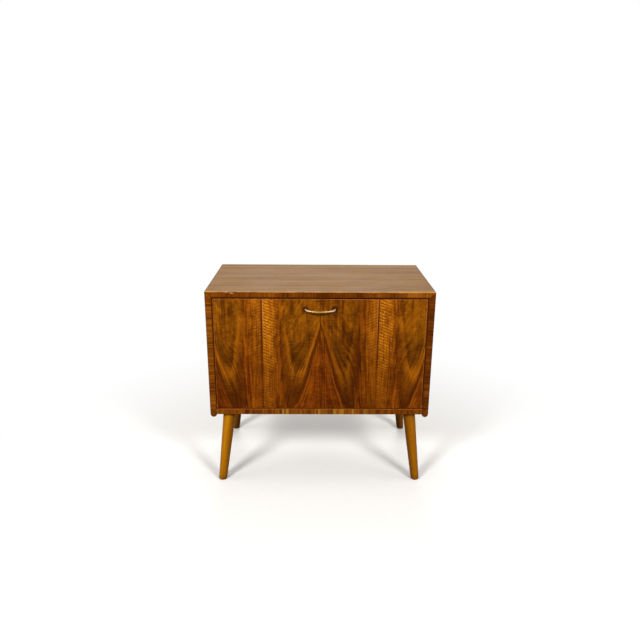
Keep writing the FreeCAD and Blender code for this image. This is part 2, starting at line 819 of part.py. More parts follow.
def stay_bracket(side):
    """Make the angle bracket on the fall front that carries the rivet, and the rivet."""
    inward, _ = SIDE_AXIS[side]
    name = f"{side}_stay_bracket"
    pivot_face = (at_side(side, "lug_near"), "pivot_y", "pivot_z")
    lug_z = ("pivot_z - arm_half", "pivot_z + arm_half")
    lug = block(f"{name}_lug", along(side, "lug_near", "lug_far"), ("door_back", "pivot_y"), lug_z)
    nose = rod(f"{name}_nose", pivot_face, inward, "stay_bracket_thickness", "stay_arm_width")
    flange_z = ("pivot_z - stay_bracket_height / 2", "pivot_z + stay_bracket_height / 2")
    flange = block(
        f"{name}_flange", along(side, "lug_near", "flange_far"), ("door_back", "flange_face"), flange_z
    )
    made = []
    for count, step in enumerate((-1, 1), start=1):
        place = f"pivot_z + {step} * stay_bracket_screw_spread"
        start = (at_side(side, "flange_mid"), "flange_face", place)
        made.append(small_screw(f"{name}_screw_{count}", start, "-Y"))
    bracket_screws.extend(made)
    holes = group(f"{name}_holes", [plain for plain, _ in made])
    rivet_start = (at_side(side, "rivet_near"), "pivot_y", "pivot_z")
    shank_length = "lug_far + stay_rivet_head_height - rivet_near"
    shank = rod(f"{side}_rivet_shank", rivet_start, inward, shank_length, "stay_rivet_diameter")
    head_size = ("stay_rivet_head_height", "stay_rivet_head_diameter")
    first_head = rod(f"{side}_rivet_head", rivet_start, inward, *head_size)
    far_start = (at_side(side, "lug_far"), "pivot_y", "pivot_z")
    far_head = rod(f"{side}_rivet_far_head", far_start, inward, *head_size)
    rivet = node(f"{side}_stay_rivet", fuse(f"{side}_stay_rivet", shank, first_head, far_head))
    blank = fuse(f"{name}_blank", lug, nose, flange)
    return node(name, cut(name, blank, holes, rivet))


def stay_arm(side):
    """Make the slotted arm, turned to where it lies with the fall front shut."""
    name = f"{side}_stay_arm"
    body, planes = body_with(name)
    outline = sketch_on(body, planes["YZ_Plane"], f"{name}_outline")
    slot(outline, "0", "arm_last", "arm_half")
    slot(outline, "slot_first", "slot_last", "slot_half")
    circle(outline, "0", "0", "rivet_hole")
    pad = body.newObject("PartDesign::Pad", f"{name}_pad")
    pad.Profile = outline
    pad.setExpression("Length", bound("stay_arm_thickness"))
    body.Placement = FreeCAD.Placement(FreeCAD.Vector(), FreeCAD.Rotation(X_AXIS, number("arm_angle")))
    body.setExpression("Placement.Rotation.Angle", bound("arm_angle"))
    shift(body, along(side, "arm_near", "arm_far")[0], "pivot_y", "pivot_z")
    return node(name, body)


for side in SIDES:
    stud_plate(side)
    stay_bracket(side)
    stay_arm(side)
stud_plate_holes = screw_group("stay_plate_screws", stud_screws)
bracket_holes = screw_group("stay_bracket_screws", bracket_screws)

# Magnetic catch under the top, and its strike plate on the fall front
catch_y = ("catch_front", "catch_front + catch_depth")
catch_case = block(
    "catch_case", ("-catch_half", "catch_half"), catch_y, ("top_under - catch_height", "top_under")
)
catch_ears = block("catch_ears", ("-ear_half", "ear_half"), catch_y, ("ear_under", "top_under"))
magnet = block(
    "magnet",
    ("-magnet_width / 2", "magnet_width / 2"),
    ("magnet_front", "magnet_front + magnet_depth"),
    ("catch_mid - magnet_height / 2", "catch_mid + magnet_height / 2"),
)
catch_screws = []
strike_screws = []
for count, step in enumerate((-1, 1), start=1):
    ear_start = (f"{step} * ear_mid", "catch_front + catch_depth / 2", "ear_under")
    catch_screws.append(small_screw(f"catch_screw_{count}", ear_start, "+Z"))
    strike_start = (f"{step} * strike_screw_spread", "strike_face", "strike_mid")
    strike_screws.append(small_screw(f"strike_screw_{count}", strike_start, "-Y"))
catch_holes = screw_group("catch_screws", catch_screws)
strike_holes = screw_group("strike_screws", strike_screws)
node("catch_body", cut("catch_body", fuse("catch_blank", catch_case, catch_ears), magnet, catch_holes))
node("catch_magnet", magnet)
strike = block(
    "strike",
    ("-strike_width / 2", "strike_width / 2"),
    ("door_back", "strike_face"),
    ("strike_high - strike_height", "strike_high"),
)
node("strike_plate", cut("strike_plate", strike, strike_holes))

# Half-depth shelf on four pins
shelf_pins = []
for side in SIDES:
    for end, y in (("front", "shelf_front + shelf_pin_inset"), ("back", "shelf_back - shelf_pin_inset")):
        start = (at_side(side, "-shelf_pin_depth"), y, "shelf_pin_z")
        length = "shelf_pin_depth + shelf_pin_reach"
        shelf_pins.append(
            rod(f"{side}_{end}_shelf_pin", start, SIDE_AXIS[side][0], length, "shelf_pin_diameter")
        )
node("shelf_pins", group("shelf_pins", shelf_pins))
shelf_pin_holes = {
    "left": group("left_shelf_pin_holes", shelf_pins[:2]),
    "right": group("right_shelf_pin_holes", shelf_pins[2:]),
}
node(
    "shelf",
    block(
        "shelf",
        ("-shelf_half", "shelf_half"),
        ("shelf_front", "shelf_back"),
        ("shelf_under", "shelf_under + shelf_thickness"),
    ),
)


# Carcase panels and the strips on their front edges
def cased(name, outline, start, depth):
    """Extrude an outline and ease it to the case's outer form."""
    return common(name, pad_outline(f"{name}_pad", outline, start, depth), case_form)


top_blank = cased("top_blank", TOP_OUTLINE, "panel_front", "panel_depth")
node(
    "top_panel",
    cut("top_panel", top_blank, back_recess, *splines.values(), back_screw_holes, catch_holes),
)
node("top_edge_band", cased("top_edge_band", TOP_OUTLINE, "front_y", "band_thickness"))
for side, outline in SIDE_OUTLINES.items():
    blank = cased(f"{side}_side_blank", outline, "panel_front", "panel_depth")
    tools = [
        back_recess,
        splines[side],
        side_dowel_holes[side],
        back_screw_holes,
        case_leaves[side],
        case_hinge_holes,
        stud_plate_holes,
        shelf_pin_holes[side],
    ]
    node(f"{side}_side_panel", cut(f"{side}_side_panel", blank, *tools))
    node(f"{side}_edge_band", cased(f"{side}_edge_band", outline, "front_y", "band_thickness"))
    bar = block(
        f"{side}_runner_bar",
        along(side, "-side_thickness", "0"),
        ("front_y", "back_y"),
        ("runner_axis", "base_top"),
    )
    nose_start = (f"{SIDES[side]} * dowel_x", "front_y", "runner_axis")
    bullnose = rod(f"{side}_runner_nose", nose_start, "+Y", "case_depth", "side_thickness")
    blank = common(f"{side}_runner_blank", fuse(f"{side}_runner_form", bar, bullnose), case_form)
    tools = [back_recess, side_dowel_holes[side], base_dowel_holes[side]]
    node(f"{side}_runner", cut(f"{side}_runner", blank, *tools))
base_blank = block(
    "base_blank", ("-inner_half", "inner_half"), ("panel_front", "back_y"), ("leg_height", "base_top")
)
node(
    "base_panel",
    cut(
        "base_panel",
        base_blank,
        back_recess,
        *base_dowel_holes.values(),
        back_screw_holes,
        plate_screw_holes,
        group("boss_recesses", boss_recesses),
    ),
)
base_band = block(
    "base_edge_band", ("-inner_half", "inner_half"), ("front_y", "panel_front"), ("leg_height", "base_top")
)
node("base_edge_band", base_band)


# Bow pull: two short posts, two round shoulders and a shallow bow between them
def bow_path(body, plane):
    """Draw the pull's centre line, out from one foot and back to the other."""
    path = sketch_on(body, plane, "bow_path")
    half, bend = number("pull_half"), number("pull_bend_radius")
    post, bow = number("post_length"), number("bow_radius")
    reach = math.radians(90 - number("pull_bow_angle"))
    up = FreeCAD.Vector(0, 0, 1)
    shapes = [
        Part.LineSegment(FreeCAD.Vector(-half, 0, 0), FreeCAD.Vector(-half, -post, 0)),
        Part.ArcOfCircle(
            Part.Circle(FreeCAD.Vector(-half + bend, -post, 0), up, bend), math.pi, math.pi + reach
        ),
        Part.ArcOfCircle(
            Part.Circle(FreeCAD.Vector(0, -number("bow_centre"), 0), up, bow), math.pi + reach, -reach
        ),
        Part.ArcOfCircle(Part.Circle(FreeCAD.Vector(half - bend, -post, 0), up, bend), -reach, 0),
        Part.LineSegment(FreeCAD.Vector(half, -post, 0), FreeCAD.Vector(half, 0, 0)),
    ]
    for shape in shapes:
        path.addGeometry(shape, False)
    for first in range(len(shapes) - 1):
        path.addConstraint(Sketcher.Constraint("Tangent", first, 2, first + 1, 1))
    tie_point(path, 0, 1, "-pull_half", "0")
    tie_point(path, 4, 2, "pull_half", "0")
    tie_point(path, 0, 2, "-pull_half", "-post_length")
    tie_point(path, 4, 1, "pull_half", "-post_length")
    tie(path, "Radius", 1, bend, "pull_bend_radius")
    tie(path, "Radius", 3, bend, "pull_bend_radius")
    return path


def bow_pull():
    """Sweep the pull along its centre line and add its two feet."""
    body, planes = body_with("bow_pull")
    path = bow_path(body, planes["XY_Plane"])
    section = sketch_on(body, planes["XZ_Plane"], "bow_section")
    circle(section, "-pull_half", "0", "pull_rod")
    pipe = body.newObject("PartDesign::AdditivePipe", "bow")
    pipe.Profile = section
    pipe.Spine = (path, [f"Edge{count}" for count in range(1, 6)])
    for foot in ("-pull_half", "pull_half"):
        ring = sketch_on(body, planes["XZ_Plane"], "pull_foot")
        circle(ring, foot, "0", "pull_foot_half")
        pad = body.newObject("PartDesign::Pad", "pull_foot_pad")
        pad.Profile = ring
        pad.setExpression("Length", bound("pull_foot_height"))
    return shift(body, y="door_front", z="pull_z")


pull_screws = []
for count, step in enumerate((-1, 1), start=1):
    start = (f"{step} * pull_half", "door_back", "pull_z")
    shank = rod(
        f"pull_screw_{count}_shank", start, "-Y", "door_thickness + pull_screw_grip", "pull_screw_diameter"
    )
    head_sizes = ("pull_screw_head_height", "pull_screw_head_diameter")
    head = rod(f"pull_screw_{count}_head", start, "+Y", *head_sizes)
    pull_screws.append(fuse(f"pull_screw_{count}", shank, head))
pull_screw_group = node("pull_screws", group("pull_screws", pull_screws))
node("pull_handle", cut("pull_handle", bow_pull(), pull_screw_group))

# Fall front: core, four bookmatched face leaves and a balancing leaf inside
door_z = ("door_low", "door_high")
leaf_spans = {
    "left_outer_veneer": ("-door_half", "-veneer_leaf_width"),
    "left_inner_veneer": ("-veneer_leaf_width", "0"),
    "right_inner_veneer": ("0", "veneer_leaf_width"),
    "right_outer_veneer": ("veneer_leaf_width", "door_half"),
}
for label, span in leaf_spans.items():
    blank = block(f"{label}_leaf", span, ("door_front", "core_front"), door_z)
    node(label, cut(label, common(f"{label}_eased", blank, door_form), pull_screw_group))
core_blank = block("core_blank", ("-door_half", "door_half"), ("core_front", "core_back"), door_z)
core_tools = [
    *door_leaves.values(),
    door_hinge_holes,
    bracket_holes,
    strike_holes,
    pull_screw_group,
]
node("fall_front_panel", cut("fall_front_panel", core_blank, *core_tools))
backing_blank = block("backing_blank", ("-door_half", "door_half"), ("core_back", "door_back"), door_z)
node(
    "fall_front_backing",
    cut("fall_front_backing", backing_blank, bracket_holes, strike_holes, pull_screw_group),
)

doc.recompute()
faults = [thing.Name for thing in doc.Objects if {"Invalid", "Error"} & set(thing.State)]
faults += [piece.Label for piece in nodes if piece.Shape.isNull() or not piece.Shape.isValid()]
if faults:
    raise RuntimeError(f"these pieces failed: {faults}")
os.makedirs("parts", exist_ok=True)
for piece in nodes:
    piece.Shape.exportStep(f"parts/{piece.Label}.step")
print(f"{len(nodes)} sub-parts written")
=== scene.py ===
import json
import logging
import math
from dataclasses import dataclass, field
from enum import Enum
from functools import reduce
from operator import add, mul
from typing import Optional, Union

import bmesh
import bpy
from mathutils import Matrix, Vector

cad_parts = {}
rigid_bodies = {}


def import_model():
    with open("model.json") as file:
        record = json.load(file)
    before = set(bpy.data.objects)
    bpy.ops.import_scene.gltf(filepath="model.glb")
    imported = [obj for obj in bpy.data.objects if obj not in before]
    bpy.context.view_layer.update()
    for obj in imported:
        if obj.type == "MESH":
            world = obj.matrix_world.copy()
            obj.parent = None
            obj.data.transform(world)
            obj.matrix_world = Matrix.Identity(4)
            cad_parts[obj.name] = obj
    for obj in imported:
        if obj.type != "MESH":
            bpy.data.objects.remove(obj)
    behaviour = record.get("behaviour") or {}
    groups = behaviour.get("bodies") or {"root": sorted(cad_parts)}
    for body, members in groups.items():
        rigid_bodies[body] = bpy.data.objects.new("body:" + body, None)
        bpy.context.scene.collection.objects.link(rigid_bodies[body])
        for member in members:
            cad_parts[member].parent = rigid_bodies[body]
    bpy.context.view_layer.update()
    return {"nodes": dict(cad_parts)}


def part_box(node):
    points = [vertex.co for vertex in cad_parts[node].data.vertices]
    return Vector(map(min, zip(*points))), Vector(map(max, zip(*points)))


LOG = logging.getLogger("bar_cabinet")

Socket = bpy.types.NodeSocket
Pair = tuple[float, float]
Triple = tuple[float, float, float]
Rgba = tuple[float, float, float, float]
PerLeaf = tuple[float, float, float, float]
Stop = tuple[float, Rgba]
Tinge = tuple["Span", Rgba]
Term = Union["Value", float, Triple, Rgba]

WHITE: Rgba = (1.0, 1.0, 1.0, 1.0)
FAR = 9.0
NOISE_MIDDLE = 0.5
HAZE_RANGE: Pair = (0.3, 0.7)
RUB_RANGE: Pair = (0.25, 0.75)
GRAIN_DEPTH = 0.0002
SKIN_DEPTH = 0.0001
RUB_RELIEF = 0.08
DEEP_GLOSS = 0.035
WEDGE = 0.0115
WEDGE_SOFT = 0.004
LEAF_MARGIN = 0.1
ALL_LEAVES: PerLeaf = (1.0, 1.0, 1.0, 1.0)


class Grain(Enum):
    """The way the fibres of a board run, as the turn that brings Z onto them."""

    ALONG_WIDTH = (0.0, math.pi / 2, 0.0)
    ALONG_DEPTH = (math.pi / 2, 0.0, 0.0)
    UPRIGHT = (0.0, 0.0, 0.0)


class Face(Enum):
    """The faces of a box between which arrises take wear and painted light."""

    SIDES = "sides"
    FRONT = "front"
    BACK = "back"
    TOP = "top"


class Leaf(Enum):
    """The four leaves of the fall front, by the number that shifts their noise."""

    LEFT_INNER = 0.0
    RIGHT_INNER = 1.0
    LEFT_OUTER = 2.0
    RIGHT_OUTER = 3.0


class Blend(Enum):
    """How one colour is laid over another."""

    COVER = "MIX"
    TINT = "MULTIPLY"


def tone(red: float, green: float, blue: float) -> Rgba:
    """Turn a colour as the eye reads it into linear light.

    Args:
        red: Red, 0 to 255.
        green: Green, 0 to 255.
        blue: Blue, 0 to 255.

    Returns:
        The linear colour with full alpha.
    """
    channels = []
    for value in (red, green, blue):
        share = value / 255.0
        channels.append(share / 12.92 if share <= 0.04045 else ((share + 0.055) / 1.055) ** 2.4)
    return (channels[0], channels[1], channels[2], 1.0)


def tones(*colours: Triple) -> tuple[Rgba, ...]:
    """Turn several colours into linear light."""
    return tuple(tone(*colour) for colour in colours)


def stops(*rows: Rgba) -> tuple[Stop, ...]:
    """Make the stops of a scale out of rows of place, red, green and blue."""
    return tuple((place, tone(*colour)) for place, *colour in rows)


@dataclass(frozen=True)
class Span:
    """A smooth change: where it starts and ends, and the result at either end."""

    start: Term
    end: Term
    low: Term = 0.0
    high: Term = 1.0


class Value:
    """A number, vector or colour of a shader tree, reckoned with like a plain number."""

    def __init__(self, bench: "NodeBench", socket: Socket) -> None:
        """Take the bench and the socket that gives the value."""
        self.bench = bench
        self.socket = socket

    def __add__(self, other: Term) -> "Value":
        """Give the sum."""
        return self.bench.math("ADD", self, other)

    def __sub__(self, other: Term) -> "Value":
        """Give the difference."""
        return self.bench.math("SUBTRACT", self, other)

    def __rsub__(self, other: float) -> "Value":
        """Give what is left of a plain number."""
        return self.bench.math("SUBTRACT", other, self)

    def __mul__(self, other: Term) -> "Value":
        """Give the product."""
        return self.bench.math("MULTIPLY", self, other)

    def __truediv__(self, other: Term) -> "Value":
        """Give the quotient."""
        return self.bench.math("DIVIDE", self, other)

    def __abs__(self) -> "Value":
        """Give the number without its sign."""
        return self.bench.math("ABSOLUTE", self)

    def at_least(self, low: Term) -> "Value":
        """Give the larger of two numbers."""
        return self.bench.math("MAXIMUM", self, low)

    def at_most(self, high: Term) -> "Value":
        """Give the smaller of two numbers."""
        return self.bench.math("MINIMUM", self, high)

    def above(self, limit: float) -> "Value":
        """Give 1 above a limit and 0 elsewhere."""
        return self.bench.math("GREATER_THAN", self, limit)

    def over(self, span: Span) -> "Value":
        """Map the number smoothly over a span."""
        terms = (self, span.start, span.end, span.low, span.high)
        return self.bench.work("MapRange", *terms, interpolation_type="SMOOTHSTEP")

    def stretched(self, factors: Term) -> "Value":
        """Multiply the three parts of a vector."""
        return self.bench.vector("MULTIPLY", self, factors)

    def under(self, share: Term, colour: Term) -> "Value":
        """Lay a share of another colour over this one."""
        return self.bench.mix(share, self, colour)


class NodeBench:
    """Lays out and joins the nodes of one shader tree."""

    def __init__(self, tree: bpy.types.NodeTree) -> None:
        """Take the tree to work on."""
        self.tree = tree

    def add(self, kind: str, **settings: object) -> bpy.types.Node:
        """Add one shader node.

        Args:
            kind: The node's type, without the ShaderNode prefix.
            settings: Properties to set on it.

        Returns:
            The new node.
        """
        node = self.tree.nodes.new("ShaderNode" + kind)
        for name, value in settings.items():
            setattr(node, name, value)
        return node

    def feed(self, socket: Socket, term: Term) -> None:
        """Join a socket to a value, or set its own.

        Args:
            socket: The socket.
            term: What it gets.
        """
        if isinstance(term, Value):
            self.tree.links.new(term.socket, socket)
        else:
            socket.default_value = term

    def work(self, kind: str, *terms: Term, **settings: object) -> Value:
        """Add a node and feed it.

        Args:
            kind: The node's type, without the ShaderNode prefix.
            terms: Its first inputs, in order.
            settings: Properties to set on it.

        Returns:
            Its first output.
        """
        node = self.add(kind, **settings)
        for socket, term in zip(node.inputs, terms):
            self.feed(socket, term)
        return Value(self, node.outputs[0])

    def fill(self, node: bpy.types.Node, **inputs: Term) -> bpy.types.Node:
        """Feed a node's inputs by their names.

        Args:
            node: The node.
            inputs: What the inputs get, by name, with _ for a space.

        Returns:
            The same node.
        """
        for name, term in inputs.items():
            self.feed(node.inputs[name.replace("_", " ")], term)
        return node

    def math(self, operation: str, *terms: Term) -> Value:
        """Work out one number from others."""
        return self.work("Math", *terms, operation=operation)

    def vector(self, operation: str, *terms: Term) -> Value:
        """Work out one vector from others."""
        return self.work("VectorMath", *terms, operation=operation)

    def join(self, x: Term, y: Term, z: Term) -> Value:
        """Make a vector of three parts."""
        return self.work("CombineXYZ", x, y, z)

    def split(self, vector: Value) -> tuple[Value, ...]:
        """Give a vector's x, y and z."""
        node = self.fill(self.add("SeparateXYZ"), Vector=vector)
        return tuple(Value(self, output) for output in node.outputs)

    def length(self, vector: Value) -> Value:
        """Give a vector's length."""
        node = self.fill(self.add("VectorMath", operation="LENGTH"), Vector=vector)
        return Value(self, node.outputs["Value"])

    def position(self) -> Value:
        """Give the point on the piece, in metres in the shared frame."""
        return Value(self, self.add("TexCoord").outputs["Object"])

    def turned(self, vector: Value, turn: Triple) -> Value:
        """Turn a vector by three angles."""
        node = self.fill(self.add("Mapping"), Vector=vector, Rotation=turn)
        return Value(self, node.outputs[0])

    def noise(self, vector: Value, detail: float = 3.0, scale: float = 1.0, rough: float = 0.55) -> Value:
        """Sample soft noise from 0 to 1, with its finer layers, cells in each unit and roughness."""
        node = self.fill(self.add("TexNoise"), Vector=vector, Scale=scale, Detail=detail, Roughness=rough)
        return Value(self, node.outputs[0])

    def ramp(self, share: Value, scale: tuple[Stop, ...]) -> Value:
        """Read a colour off a scale of stops.

        Args:
            share: Where on the scale, from 0 to 1.
            scale: Places and colours, in order.

        Returns:
            The colour.
        """
        node = self.add("ValToRGB")
        self.feed(node.inputs[0], share)
        node.color_ramp.interpolation = "EASE"
        elements = node.color_ramp.elements
        elements[0].position, elements[0].color = scale[0]
        elements[1].position, elements[1].color = scale[-1]
        for place, colour in scale[1:-1]:
            elements.new(place).color = colour
        return Value(self, node.outputs[0])

    def mix(
        self, share: Term, first: Term, second: Term, blend: Blend = Blend.COVER, label: str = ""
    ) -> Value:
        """Mix two colours.

        Args:
            share: How much of the second is laid over the first.
            first: The colour below.
            second: The colour laid over it.
            blend: How it is laid.
            label: What the node is labelled with.

        Returns:
            The mixed colour.
        """
        node = self.add("Mix", data_type="RGBA", blend_type=blend.value, label=label)
        for index, term in ((0, share), (6, first), (7, second)):
            self.feed(node.inputs[index], term)
        return Value(self, node.outputs[2])

    def place(self, group: bpy.types.NodeTree, **inputs: Term) -> dict[str, Value]:
        """Place a shared effect with its inputs by name, and give its outputs by name."""
        node = self.fill(self.add("Group", node_tree=group), **inputs)
        return {output.name: Value(self, output) for output in node.outputs}

    def bump(self, height: Value, strength: float, depth: float) -> Value:
        """Turn a height from 0 to 1, whose full depth is in metres, into a bent normal."""
        node = self.fill(self.add("Bump"), Strength=strength, Distance=depth, Height=height)
        return Value(self, node.outputs[0])


class SharedEffects:
    """The node groups that more than one finish uses, each built once."""

    drift_cells: Triple = (4.0, 4.0, 1.6)
    drift_sway: float = 0.03
    band_length: float = 1.3
    fibre_cells: Triple = (430.0, 430.0, 6.0)
    pore_cells: Triple = (1500.0, 1500.0, 55.0)
    pore_span: Span = Span(0.6, 0.74)
    arris_reach: Span = Span(0.3, 0.72, 0.45, 1.35)
    haze_weights: Pair = (0.6, 0.4)
    tarnish_span: Span = Span(0.42, 0.72)
    rub_cells: Triple = (3.0, 40.0, 40.0)

    def __init__(self) -> None:
        """Build the groups."""
        self.wood_fibre = self._wood_fibre()
        self.arris_mask = self._arris_wear()
        self.film_haze = self._film_haze()
        self.metal_tarnish = self._metal_tarnish()

    @staticmethod
    def _group(name: str, inputs: dict[str, str]) -> tuple[NodeBench, list[Value]]:
        """Start a group with its named inputs.

        Args:
            name: The group's name.
            inputs: Input names and socket types.

        Returns:
            The group's bench and its inputs, in order.
        """
        bench = NodeBench(bpy.data.node_groups.new(name, "ShaderNodeTree"))
        for label, kind in inputs.items():
            bench.tree.interface.new_socket(label, in_out="INPUT", socket_type="NodeSocket" + kind)
        entry = bench.tree.nodes.new("NodeGroupInput")
        return bench, [Value(bench, entry.outputs[label]) for label in inputs]

    @staticmethod
    def _close(bench: NodeBench, **outputs: Value) -> bpy.types.NodeTree:
        """Put numbers out of a group.

        Args:
            bench: The group's bench.
            outputs: The numbers by name.

        Returns:
            The group.
        """
        for label in outputs:
            bench.tree.interface.new_socket(label, in_out="OUTPUT", socket_type="NodeSocketFloat")
        leave = bench.tree.nodes.new("NodeGroupOutput")
        for label, value in outputs.items():
            bench.feed(leave.inputs[label], value)
        return bench.tree

    def _wood_fibre(self) -> bpy.types.NodeTree:
        """Build straight wood figure: slow growth bands, fine fibres and short pores along Z.

        Returns:
            The group.
        """
        bench, (point, band_scale) = self._group("wood_fibre", {"Vector": "Vector", "Band Scale": "Float"})
        drift = bench.noise(point.stretched(self.drift_cells), detail=2.0)
        sway = (drift - NOISE_MIDDLE) * self.drift_sway
        swayed = bench.vector("ADD", point, bench.join(sway, sway, 0.0))
        x, y, z = bench.split(swayed)
        band = bench.noise(bench.join(x * band_scale, y * band_scale, z * self.band_length), detail=4.0)
        fibre = bench.noise(swayed.stretched(self.fibre_cells))
        pore = bench.noise(swayed.stretched(self.pore_cells), detail=1.0)
        return self._close(bench, Band=band, Fibre=fibre, Pore=pore.over(self.pore_span))

    def _arris_wear(self) -> bpy.types.NodeTree:
        """Build a mask along the arrises of a box, broken up by noise, for wear and painted light.

        Returns:
            The group.
        """
        bench, (point, low, high, width) = self._group(
            "arris_mask", {"Position": "Vector", "Low": "Vector", "High": "Vector", "Width": "Float"}
        )
        above = bench.vector("SUBTRACT", point, low)
        below = bench.vector("SUBTRACT", high, point)
        x, y, z = bench.split(bench.vector("MINIMUM", above, below))
        middle = x.at_most(y).at_least(x.at_least(y).at_most(z))
        reach = width * bench.noise(point, scale=38.0, rough=0.65).over(self.arris_reach)
        return self._close(bench, Mask=middle.over(Span(0.0, reach, 1.0, 0.0)))

    def _film_haze(self) -> bpy.types.NodeTree:
        """Build the uneven sheen of a lacquer film: broad rubbed patches and small smears.

        Returns:
            The group.
        """
        bench, (point,) = self._group("film_haze", {"Position": "Vector"})
        broad = bench.noise(point, detail=2.0, scale=7.0)
        small = bench.noise(point, detail=4.0, scale=55.0, rough=0.6)
        return self._close(bench, Haze=small * self.haze_weights[1] + broad * self.haze_weights[0])

    def _metal_tarnish(self) -> bpy.types.NodeTree:
        """Build tarnish on old metal: cloudy patches and fine rubbed lines.

        Returns:
            The group.
        """
        bench, (point, scale) = self._group("metal_tarnish", {"Position": "Vector", "Scale": "Float"})
        spread = point.stretched(bench.join(scale, scale, scale))
        cloud = bench.noise(spread, detail=5.0, rough=0.62)
        rub = bench.noise(spread.stretched(self.rub_cells), detail=2.0)
        return self._close(bench, Tarnish=cloud.over(self.tarnish_span), Rub=rub)


@dataclass(frozen=True)
class Envelope:
    """The outer box of a group of panels, whose arrises take wear and painted light."""

    low: Triple
    high: Triple

    @classmethod
    def around(cls, *nodes: str) -> "Envelope":
        """Give the box round some nodes.

        Args:
            nodes: Their names.

        Returns:
            The box.
        """
        boxes = [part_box(node) for node in nodes]
        low = tuple(min(pair[0][axis] for pair in boxes) for axis in range(3))
        high = tuple(max(pair[1][axis] for pair in boxes) for axis in range(3))
        return cls(low, high)

    def only(self, *faces: Face) -> "Envelope":
        """Give the box with its other faces moved far away, so that their arrises are not marked.

        Args:
            faces: The faces that stay.

        Returns:
            The opened box.
        """
        wide = Face.SIDES in faces
        low = (self.low[0] if wide else -FAR, self.low[1] if Face.FRONT in faces else -FAR, -FAR)
        back = self.high[1] if Face.BACK in faces else FAR
        top = self.high[2] if Face.TOP in faces else FAR
        return Envelope(low, (self.high[0] if wide else FAR, back, top))


class Surface:
    """A material under work: its bench, its shader and the point on the piece."""

    def __init__(self, name: str, effects: Optional[SharedEffects] = None) -> None:
        """Start the material.

        Args:
            name: The material's name.
            effects: The shared node groups, where it uses them.
        """
        self.material = bpy.data.materials.new(name)
        self.material.use_nodes = True
        self.bench = NodeBench(self.material.node_tree)
        self.shader = self.material.node_tree.nodes["Principled BSDF"]
        self.position = self.bench.position()
        self.effects = effects

    def haze(self) -> Value:
        """Give the unevenness of the film on the piece."""
        return self.bench.place(self.effects.film_haze, Position=self.position)["Haze"]

    def arris(self, box: Envelope, width: float) -> Value:
        """Mark the arrises of a box from 0 to 1, as far from each as the width says."""
        inputs = {"Position": self.position, "Low": box.low, "High": box.high, "Width": width}
        return self.bench.place(self.effects.arris_mask, **inputs)["Mask"]

    def done(self, **inputs: Term) -> bpy.types.Material:
        """Set the shader's inputs by name, and give the material."""
        self.bench.fill(self.shader, **inputs)
        return self.material

    def lacquered(
        self, colour: Value, height: Value, relief: float, sheen: Pair, gloss: float = DEEP_GLOSS
    ) -> bpy.types.Material:
        """Put wood under its lacquer.

        Args:
            colour: The wood's colour.
            height: The height of its fibres, from 0 to 1.
            relief: How much of the height shows.
            sheen: The roughness where the film is least and most hazy.
            gloss: The strength of its mirror shine.

        Returns:
            The material.
        """
        return self.done(
            Base_Color=colour,
            Roughness=self.haze().over(Span(*HAZE_RANGE, *sheen)),
            Specular_IOR_Level=gloss,
            Normal=self.bench.bump(height, relief, GRAIN_DEPTH),
        )

    def polished(
        self, age: dict[str, Value], sheen: Pair, colour: Value, metallic: Term
    ) -> bpy.types.Material:
        """Give metal its rubbed surface.

        Args:
            age: The outputs of the tarnish.
            sheen: The roughness where it is least and most rubbed.
            colour: The metal's colour.
            metallic: How far it shines as metal.

        Returns:
            The material.
        """
        return self.done(
            Base_Color=colour,
            Metallic=metallic,
            Roughness=age["Rub"].over(Span(*RUB_RANGE, *sheen)),
            Normal=self.bench.bump(age["Rub"], RUB_RELIEF, SKIN_DEPTH),
        )


class Finish:
    """A finish that makes one material."""

    name: str

    def material(self, effects: SharedEffects) -> bpy.types.Material:
        """Make the material out of the shared effects."""
        raise NotImplementedError


@dataclass(frozen=True)
class BoardWood(Finish):
    """Straight-grained board or veneer, lacquered or left bare, with its shades from dark to light."""

    name: str
    grain: Grain
    shades: tuple[Rgba, ...]
    band_scale: float = 34.0
    sheen: Pair = (0.36, 0.5)
    gloss: float = 0.06
    envelope: Optional[Envelope] = None
    arris_width: float = 0.0016
    wear_and_painted_highlight: Rgba = tone(190, 138, 76)
    # Arrises painted darker as shade, partly grime, with the width and tone of that shade.
    shaded_arrises: Optional[Envelope] = None
    arris_shade_width: float = 0.005
    shade_and_grime_tone: Rgba = tone(52, 28, 8)
    rub: float = 0.8
    places: Triple = (0.39, 0.525, 0.66)
    weights: Pair = (0.45, 0.6)
    pores: float = 0.55
    relief: float = 0.25

    def material(self, effects: SharedEffects) -> bpy.types.Material:
        """Make the board's material out of the shared effects.

        Args:
            effects: The shared node groups.

        Returns:
            The material.
        """
        surface = Surface(self.name, effects)
        along = surface.bench.turned(surface.position, self.grain.value)
        wood = surface.bench.place(effects.wood_fibre, Vector=along, Band_Scale=self.band_scale)
        share = wood["Fibre"] * self.weights[0] + wood["Band"] * self.weights[1]
        colour = surface.bench.ramp(share, tuple(zip(self.places, self.shades)))
        colour = colour.under(wood["Pore"] * self.pores, self.shades[0])
        # Painted shade, partly grime, along the shaded arrises.
        if self.shaded_arrises is not None:
            colour = colour.under(surface.arris(self.shaded_arrises, self.arris_shade_width) * self.rub, self.shade_and_grime_tone)
        if self.envelope is not None:
            colour = colour.under(surface.arris(self.envelope, self.arris_width) * self.rub, self.wear_and_painted_highlight)
        return surface.lacquered(colour, wood["Fibre"], self.relief, self.sheen, self.gloss)


